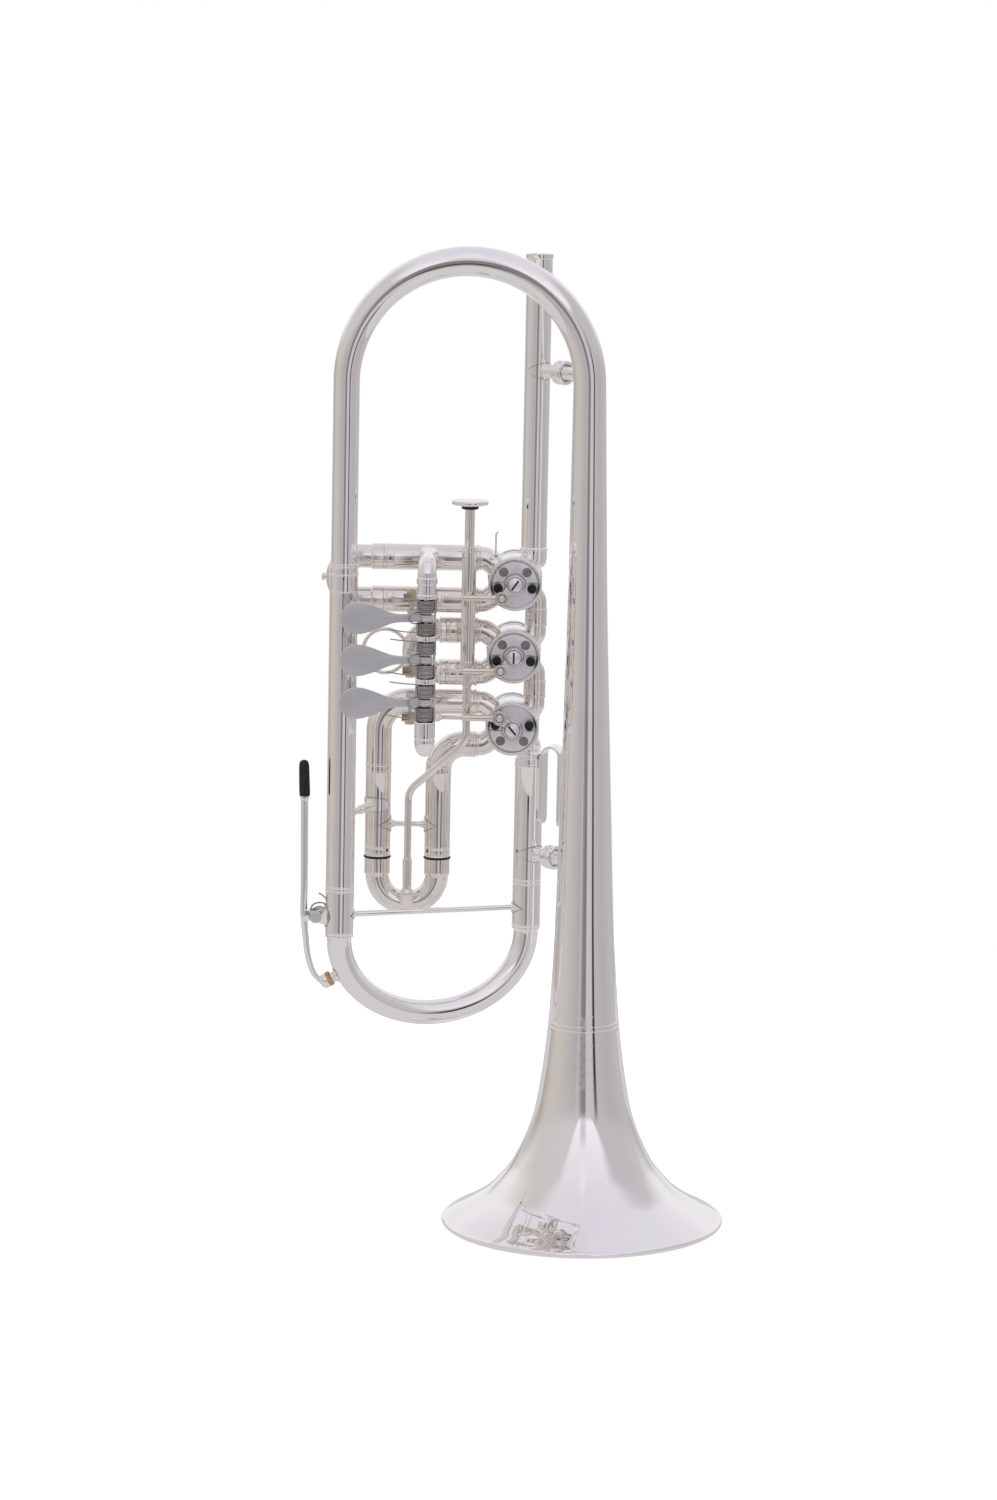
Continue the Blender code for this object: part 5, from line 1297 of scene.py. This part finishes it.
def build_hooks():
    angle = math.radians(20)
    out = uvw(math.cos(angle), -math.sin(angle), 0)
    radius = 5.0
    low = 213.0
    arc_w = 250.0
    strip = [uvw(-radius, 0, low + 37 * index / 12) for index in range(12)]
    for index in range(33):
        turn = math.pi * (1 - index / 32)
        strip.append(uvw(radius * math.cos(turn), 0, arc_w + radius * math.sin(turn)))
    strip += [uvw(radius, 0, arc_w - 38 * index / 12) for index in range(1, 13)]
    centre = uvw(EXIT_U, PORT_V, 0) + out * (SLEEVE_OUT + 0.7 + radius)
    path = [centre + out * point.x + UP * point.z for point in strip]
    piece("little_finger_hook", [ribbon(path, out.cross(UP), 5.0, 1.3)], "silver", nodes="finger_hook")
    foot = uvw(-53.2, 22.0, 359.0)
    hook = moved(
        foot, (0, 0, 0), (-0.1, -6.0, 0.6), (-0.2, -9.4, 2.0), (-0.2, -9.8, 5.0), (-0.2, -9.8, 10.0),
        (0, -9.8, 12.2), (1.2, -9.8, 12.9),
    )
    collar = rod(foot + uvw(0, -3.4, 0.4), foot + uvw(0, 3.4, -0.8), 1.9, 32, 0.4)
    piece("wire_hook", [wire(hook, 0.5, 16, 8), collar], "silver")


def build_water_key():
    pivot = uvw(KEY_U, 0, KEY_W)
    bends = moved(
        pivot, (-6.7, 0, 46.2), (-6.5, 0, 24.2), (-6.5, 0, 10.2), (-6.5, 0, 0), (-5.4, 0, -12.2), (-4.0, 0, -22.5),
        (-1.1, 0.6, -31.4),
    )
    points = smoothed([KEY_TIP_FOOT, *bends, NIPPLE_ROOT + NIPPLE_AXIS * 14.8], 6)
    length = length_of(points)
    outer = [(0, 2.4), (1.4, 2.4), (1.8, 2.0), (40, 1.9), (length - 8, 1.75), (length, 1.5)]
    arm = pipe(points, outer, sides=32, soft=0.2)
    lug = plate(
        softened([(-6.6, -3.4), (-2.4, -2.6), (-1.6, 0), (-2.4, 2.6), (-6.6, 3.4)], 0.8),
        placed_along(pivot, RIGHT, UP, -BACK), 4.2, 0.5,
    )
    barrel = lathe(
        [(1.3, -3.3), (2.6, -3.3), (3.0, -3.0), (3.0, 3.0), (2.6, 3.3), (1.3, 3.3)], pivot, BACK, 40, 0.15,
    )
    cup = lathe(
        [
            (0, 11.7), (3.4, 11.7), (3.4, 11.3), (4.1, 11.3), (4.2, 12.0), (4.2, 13.4), (3.7, 14.6), (2.6, 15.6),
            (1.2, 16.0), (0, 16.1),
        ],
        NIPPLE_ROOT, NIPPLE_AXIS, 48, 0.3,
    )
    piece("water_key_arm", [arm, lug, barrel, cup], "silver", "water_key", "water_key_lever")
    cork = lathe(
        [(0, 9.15), (3.7, 9.15), (4.0, 9.5), (4.05, 11.2), (3.3, 11.6), (0, 11.6)], NIPPLE_ROOT, NIPPLE_AXIS, 40, 0.2,
    )
    piece("water_key_cork_pad", [cork], "cork", "water_key", "water_key_cork")
    profile = [
        (0, 0.1), (2.6, 0.1), (2.85, 0.4), (2.9, 3.5), (2.85, 10.0), (2.75, 16.0), (2.45, 18.0), (1.7, 19.1),
        (0.8, 19.5), (0, 19.6),
    ]
    tip = lathe(profile, KEY_TIP_FOOT, uvw(-0.6, 0, 19.0), 40, 0.3)
    piece("water_key_rubber", [tip], "rubber", "water_key", "water_key_tip")
    shapes = [fitted_leaf(uvw(LEFT_U, 0, KEY_W), -RIGHT, SLEEVE_OUT, math.radians(48), 6.0, 3, "tuning")]
    cheek_line = [
        (-3.1, -2.0), (-3.1, 2.0), (-2.0, 3.1), (0, 3.2), (6.4, 4.4), (6.4, -4.4), (0, -3.2), (-2.0, -3.1),
    ]
    for side in (-1, 1):
        cheek = softened(cheek_line, 1.2)
        shapes.append(plate(cheek, placed_along(pivot + BACK * side * 4.15, RIGHT, UP, -BACK), 1.3, 0.25))
    piece("water_key_bracket", shapes, "silver", "tuning", "water_key_saddle")
    pin = [
        (0, -6.9), (2.6, -6.85), (3.15, -6.5), (3.15, -4.9), (1.05, -4.8), (1.05, 4.8), (2.2, 4.9), (2.2, 5.6),
        (0, 5.7),
    ]
    screw = lathe(pin, pivot, BACK, 40, 0.15)
    piece("water_key_pin", [screw], "frost", "tuning")
    spring = [coil(pivot - BACK * 2.9, BACK, 3.5, 0.35, 6, 5.8)]
    near_end = (
        (-3.2, -2.8, 1.8), (-1.0, -3.2, 4.2), (2.4, -3.4, 5.4), (4.6, -3.4, 4.0), (6.2, -3.4, 6.4), (5.4, -3.4, 9.6),
        (3.0, -3.4, 11.8), (1.4, -3.3, 12.6),
    )
    far_end = ((-3.4, 2.6, 2.0), (-1.6, 0.6, 5.6), (1.6, -0.8, 7.0), (4.4, -1.4, 6.6), (5.2, -1.2, 4.6))
    spring += [wire(moved(pivot, *offsets), 0.42) for offsets in (near_end, far_end)]
    piece("water_key_spring", spring, "steel", "tuning")


# ---------------------------------------------------------------- stage, light and camera

def build_world():
    """White to the eye; to a reflection, a studio of grey walls, a soft box overhead and dark gaps."""
    world = bpy.data.worlds.new("studio")
    bpy.context.scene.world = world
    world.use_nodes = True
    graph = Graph(world.node_tree)
    split = graph.add("SeparateXYZ", {"Vector": graph.coords("Generated")})
    x, y, z = (split.outputs[name] for name in "XYZ")
    turn = graph.math("ARCTAN2", x, graph.math("MULTIPLY", y, -1.0))
    flat = graph.math("SQRT", graph.math("SUBTRACT", 1.0, graph.math("MULTIPLY", z, z)))
    rise = graph.math("ARCTAN2", z, flat)
    walls = graph.angle_ramp(turn, -180, 180, WALL_STOPS)
    sky = graph.smooth_step(rise, 0.0, math.radians(17))
    seen = graph.mix(sky, walls, graph.angle_ramp(turn, -180, 180, SKY_STOPS))
    high = graph.math("MAXIMUM", z, 0.001)
    left = graph.math("DIVIDE", x, high)
    right = graph.math("DIVIDE", graph.math("MULTIPLY_ADD", y, 0.1, x), high)
    box = None
    for value, outside, inside in (
        (left, -1.05, -0.70), (right, 1.42, 1.12), (z, 0.16, 0.25), (x, 0.74, 0.50), (x, -0.60, -0.38),
    ):
        side = graph.smooth_step(value, outside, inside)
        box = side if box is None else graph.math("MULTIPLY", box, side)
    seen = graph.mix(box, seen, graph.angle_ramp(rise, 0, 90, BOX_STOPS))
    front = graph.smooth_step(graph.math("ABSOLUTE", turn), math.radians(9), math.radians(3))
    seen = graph.mix(front, seen, graph.angle_ramp(rise, -90, 90, MIDDLE_STOPS))
    low = graph.smooth_step(rise, math.radians(-24), math.radians(-42))
    seen = graph.mix(low, seen, graph.angle_ramp(rise, -90, 0, GROUND_STOPS))
    eye = graph.add("LightPath").outputs["Is Camera Ray"]
    background = graph.nodes["Background"]
    graph.put(graph.mix(eye, seen, (1.0, 1.0, 1.0)), background.inputs["Color"])
    background.inputs["Strength"].default_value = 1.0


# Angles round from the camera's side to the right, and angles above the horizon, in degrees.
WALL_STOPS = [
    (-180, (0.86, 0.86, 0.88)), (-160, (0.88, 0.87, 0.89)), (-154, (0.30, 0.29, 0.29)), (-148, (0.64, 0.62, 0.62)),
    (-138, (0.52, 0.485, 0.47)), (-124, (0.43, 0.39, 0.365)), (-100, (0.57, 0.53, 0.50)), (-72, (0.56, 0.525, 0.505)),
    (-48, (0.50, 0.475, 0.47)), (-22, (0.42, 0.41, 0.42)), (-14, (0.50, 0.49, 0.51)), (-10, (0.30, 0.29, 0.30)),
    (-2, (0.27, 0.26, 0.27)), (0, (0.40, 0.39, 0.41)), (4, (0.34, 0.33, 0.34)), (7, (0.58, 0.57, 0.60)),
    (26, (0.54, 0.53, 0.56)), (29, (0.035, 0.035, 0.037)), (33.5, (0.035, 0.035, 0.037)), (36.5, (0.50, 0.47, 0.49)),
    (70, (0.46, 0.43, 0.45)), (96, (0.49, 0.46, 0.48)), (118, (0.52, 0.50, 0.52)), (140, (0.48, 0.46, 0.47)),
    (150, (0.62, 0.61, 0.62)), (158, (0.84, 0.84, 0.86)), (180, (0.86, 0.86, 0.88)),
]
SKY_STOPS = [
    (-180, (0.80, 0.79, 0.81)), (-150, (0.86, 0.84, 0.86)), (-134, (0.84, 0.82, 0.83)), (-114, (0.68, 0.645, 0.635)),
    (-96, (0.60, 0.57, 0.565)), (-40, (0.61, 0.585, 0.60)), (0, (0.58, 0.56, 0.59)), (40, (0.53, 0.51, 0.53)),
    (90, (0.54, 0.51, 0.54)), (116, (0.57, 0.55, 0.57)), (128, (0.74, 0.73, 0.75)), (140, (0.86, 0.85, 0.87)),
    (180, (0.82, 0.81, 0.83)),
]
GROUND_STOPS = [
    (-90, (0.62, 0.59, 0.58)), (-70, (0.60, 0.57, 0.56)), (-62, (0.42, 0.39, 0.37)), (-56, (0.60, 0.57, 0.55)),
    (-46, (0.44, 0.40, 0.38)), (-36, (0.50, 0.47, 0.46)), (0, (0.50, 0.47, 0.46)),
]
MIDDLE_STOPS = [
    (-90, (0.60, 0.58, 0.58)), (-66, (0.62, 0.60, 0.60)), (-60, (0.42, 0.40, 0.39)), (-54, (0.62, 0.60, 0.59)),
    (-44, (0.40, 0.37, 0.37)), (-30, (0.46, 0.44, 0.45)), (-22, (0.18, 0.17, 0.17)), (-17, (0.05, 0.045, 0.05)),
    (-14, (0.05, 0.045, 0.05)), (-11, (0.21, 0.20, 0.20)), (8, (0.25, 0.23, 0.25)), (13, (0.66, 0.64, 0.68)),
    (22, (0.60, 0.58, 0.63)), (30, (0.78, 0.76, 0.82)), (38, (0.80, 0.78, 0.84)), (58, (0.80, 0.78, 0.84)),
    (72, (0.74, 0.71, 0.78)), (90, (0.70, 0.66, 0.74)),
]
BOX_STOPS = [
    (0, (0.90, 0.88, 0.93)), (15, (0.90, 0.88, 0.93)), (26, (0.84, 0.82, 0.88)), (34, (0.79, 0.77, 0.83)),
    (46, (0.75, 0.73, 0.79)), (90, (0.70, 0.67, 0.75)),
]


def build_floor():
    mesh = bmesh.new()
    bmesh.ops.create_circle(mesh, cap_ends=True, segments=96, radius=0.8)
    data = bpy.data.meshes.new("floor")
    mesh.to_mesh(data)
    mesh.free()
    floor = bpy.data.objects.new("floor", data)
    floor.location = (0, 0, -0.0004)
    bpy.context.scene.collection.objects.link(floor)
    material, graph, shader = new_material("pale_floor", (0.94, 0.94, 0.95), 0.0, 0.7)
    grain = graph.noise(graph.coords(), 30.0)
    tint = graph.ramp(grain, [(0.3, (0.93, 0.93, 0.94)), (0.7, (0.95, 0.95, 0.96))])
    graph.put(tint, shader.inputs["Base Color"])
    graph.put((1.0, 1.0, 1.0), shader.inputs["Emission Color"])
    graph.put(0.55, shader.inputs["Emission Strength"])
    calm = graph.add("Emission", {"Color": (0.64, 0.62, 0.63)})
    mix = graph.add("MixShader", {"Fac": graph.add("LightPath").outputs["Is Glossy Ray"]})
    graph.links.new(shader.outputs["BSDF"], mix.inputs[1])
    graph.links.new(calm.outputs["Emission"], mix.inputs[2])
    graph.links.new(mix.outputs["Shader"], graph.nodes["Material Output"].inputs["Surface"])
    data.materials.append(material)


def add_area(name, place, target, size, power, color):
    light = bpy.data.lights.new(name, "AREA")
    light.shape = "RECTANGLE"
    light.size = size[0]
    light.size_y = size[1]
    light.energy = power
    light.color = color
    obj = bpy.data.objects.new(name, light)
    obj.location = place
    aim = Vector(target) - Vector(place)
    obj.rotation_mode = "QUATERNION"
    obj.rotation_quaternion = aim.to_track_quat("-Z", "Y")
    obj.visible_camera = False
    obj.visible_glossy = False
    bpy.context.scene.collection.objects.link(obj)


def build_lights():
    add_area("top_softbox", (0.0, -0.3, 1.9), (0, 0, 0.2), (1.6, 1.2), 16, (1.0, 1.0, 1.0))
    add_area("left_softbox", (-1.5, -1.3, 0.8), (0, 0, 0.3), (0.5, 1.2), 6, (1.0, 0.98, 0.95))
    add_area("right_softbox", (1.5, -1.4, 0.8), (0, 0, 0.3), (0.5, 1.2), 6, (0.97, 0.97, 1.0))


def build_camera():
    tilt = math.radians(9.1)
    roll = math.radians(0.38)
    forward = Vector((0, math.cos(tilt), -math.sin(tilt)))
    level_up = Vector((0, math.sin(tilt), math.cos(tilt)))
    right = RIGHT * math.cos(roll) + level_up * math.sin(roll)
    up = level_up * math.cos(roll) - RIGHT * math.sin(roll)
    camera = bpy.data.cameras.new("camera")
    camera.lens = 100.68
    camera.sensor_width = 36
    obj = bpy.data.objects.new("camera", camera)
    turn = Matrix((right, up, -forward)).transposed().to_4x4()
    obj.matrix_world = Matrix.Translation((-0.00803, -2.2, 0.61)) @ turn
    bpy.context.scene.collection.objects.link(obj)
    bpy.context.scene.camera = obj


build_camera()
build_world()
build_floor()
build_lights()
bpy.context.scene.view_settings.view_transform = "Standard"

build_bell()
build_bell_bow()
build_left_sleeve()
build_exit_tube()
build_leadpipe()
build_tuning_slide()
for valve in range(3):
    build_valve(valve)
    build_lever(valve)
    build_link(valve)
    build_lever_spring(valve)
build_knuckle(0)
build_knuckle(1)
build_straight_legs(0, SLIDE1_SEAM_U)
build_straight_legs(1, SLIDE2_SEAM_U)
build_bent_leg("upper", 1, SLIDE3_LEFT_U, 16.0)
build_bent_leg("lower", -1, SLIDE3_RIGHT_U, 14.0)
build_slides()
build_trigger()
build_saddle()
build_bell_brace("top_brace", "upper_bell_brace", 456.5, 7.0, 9.0)
build_bell_brace("low_brace", "lower_bell_brace", 196.3, SLEEVE_OUT, 14.8)
build_hooks()
build_water_key()
# One piece per body made of the dark sheets: painted shade round brace feet and in the bell braces' grooves.
for shade_body, shade_shapes in SHADE_SHELLS.items():
    piece(f"painted_shade_shells_{shade_body}", shade_shapes, "shade_shell", shade_body)
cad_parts["trigger_spring"].data.materials.clear()
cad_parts["trigger_spring"].data.materials.append(MATERIALS["steel"])
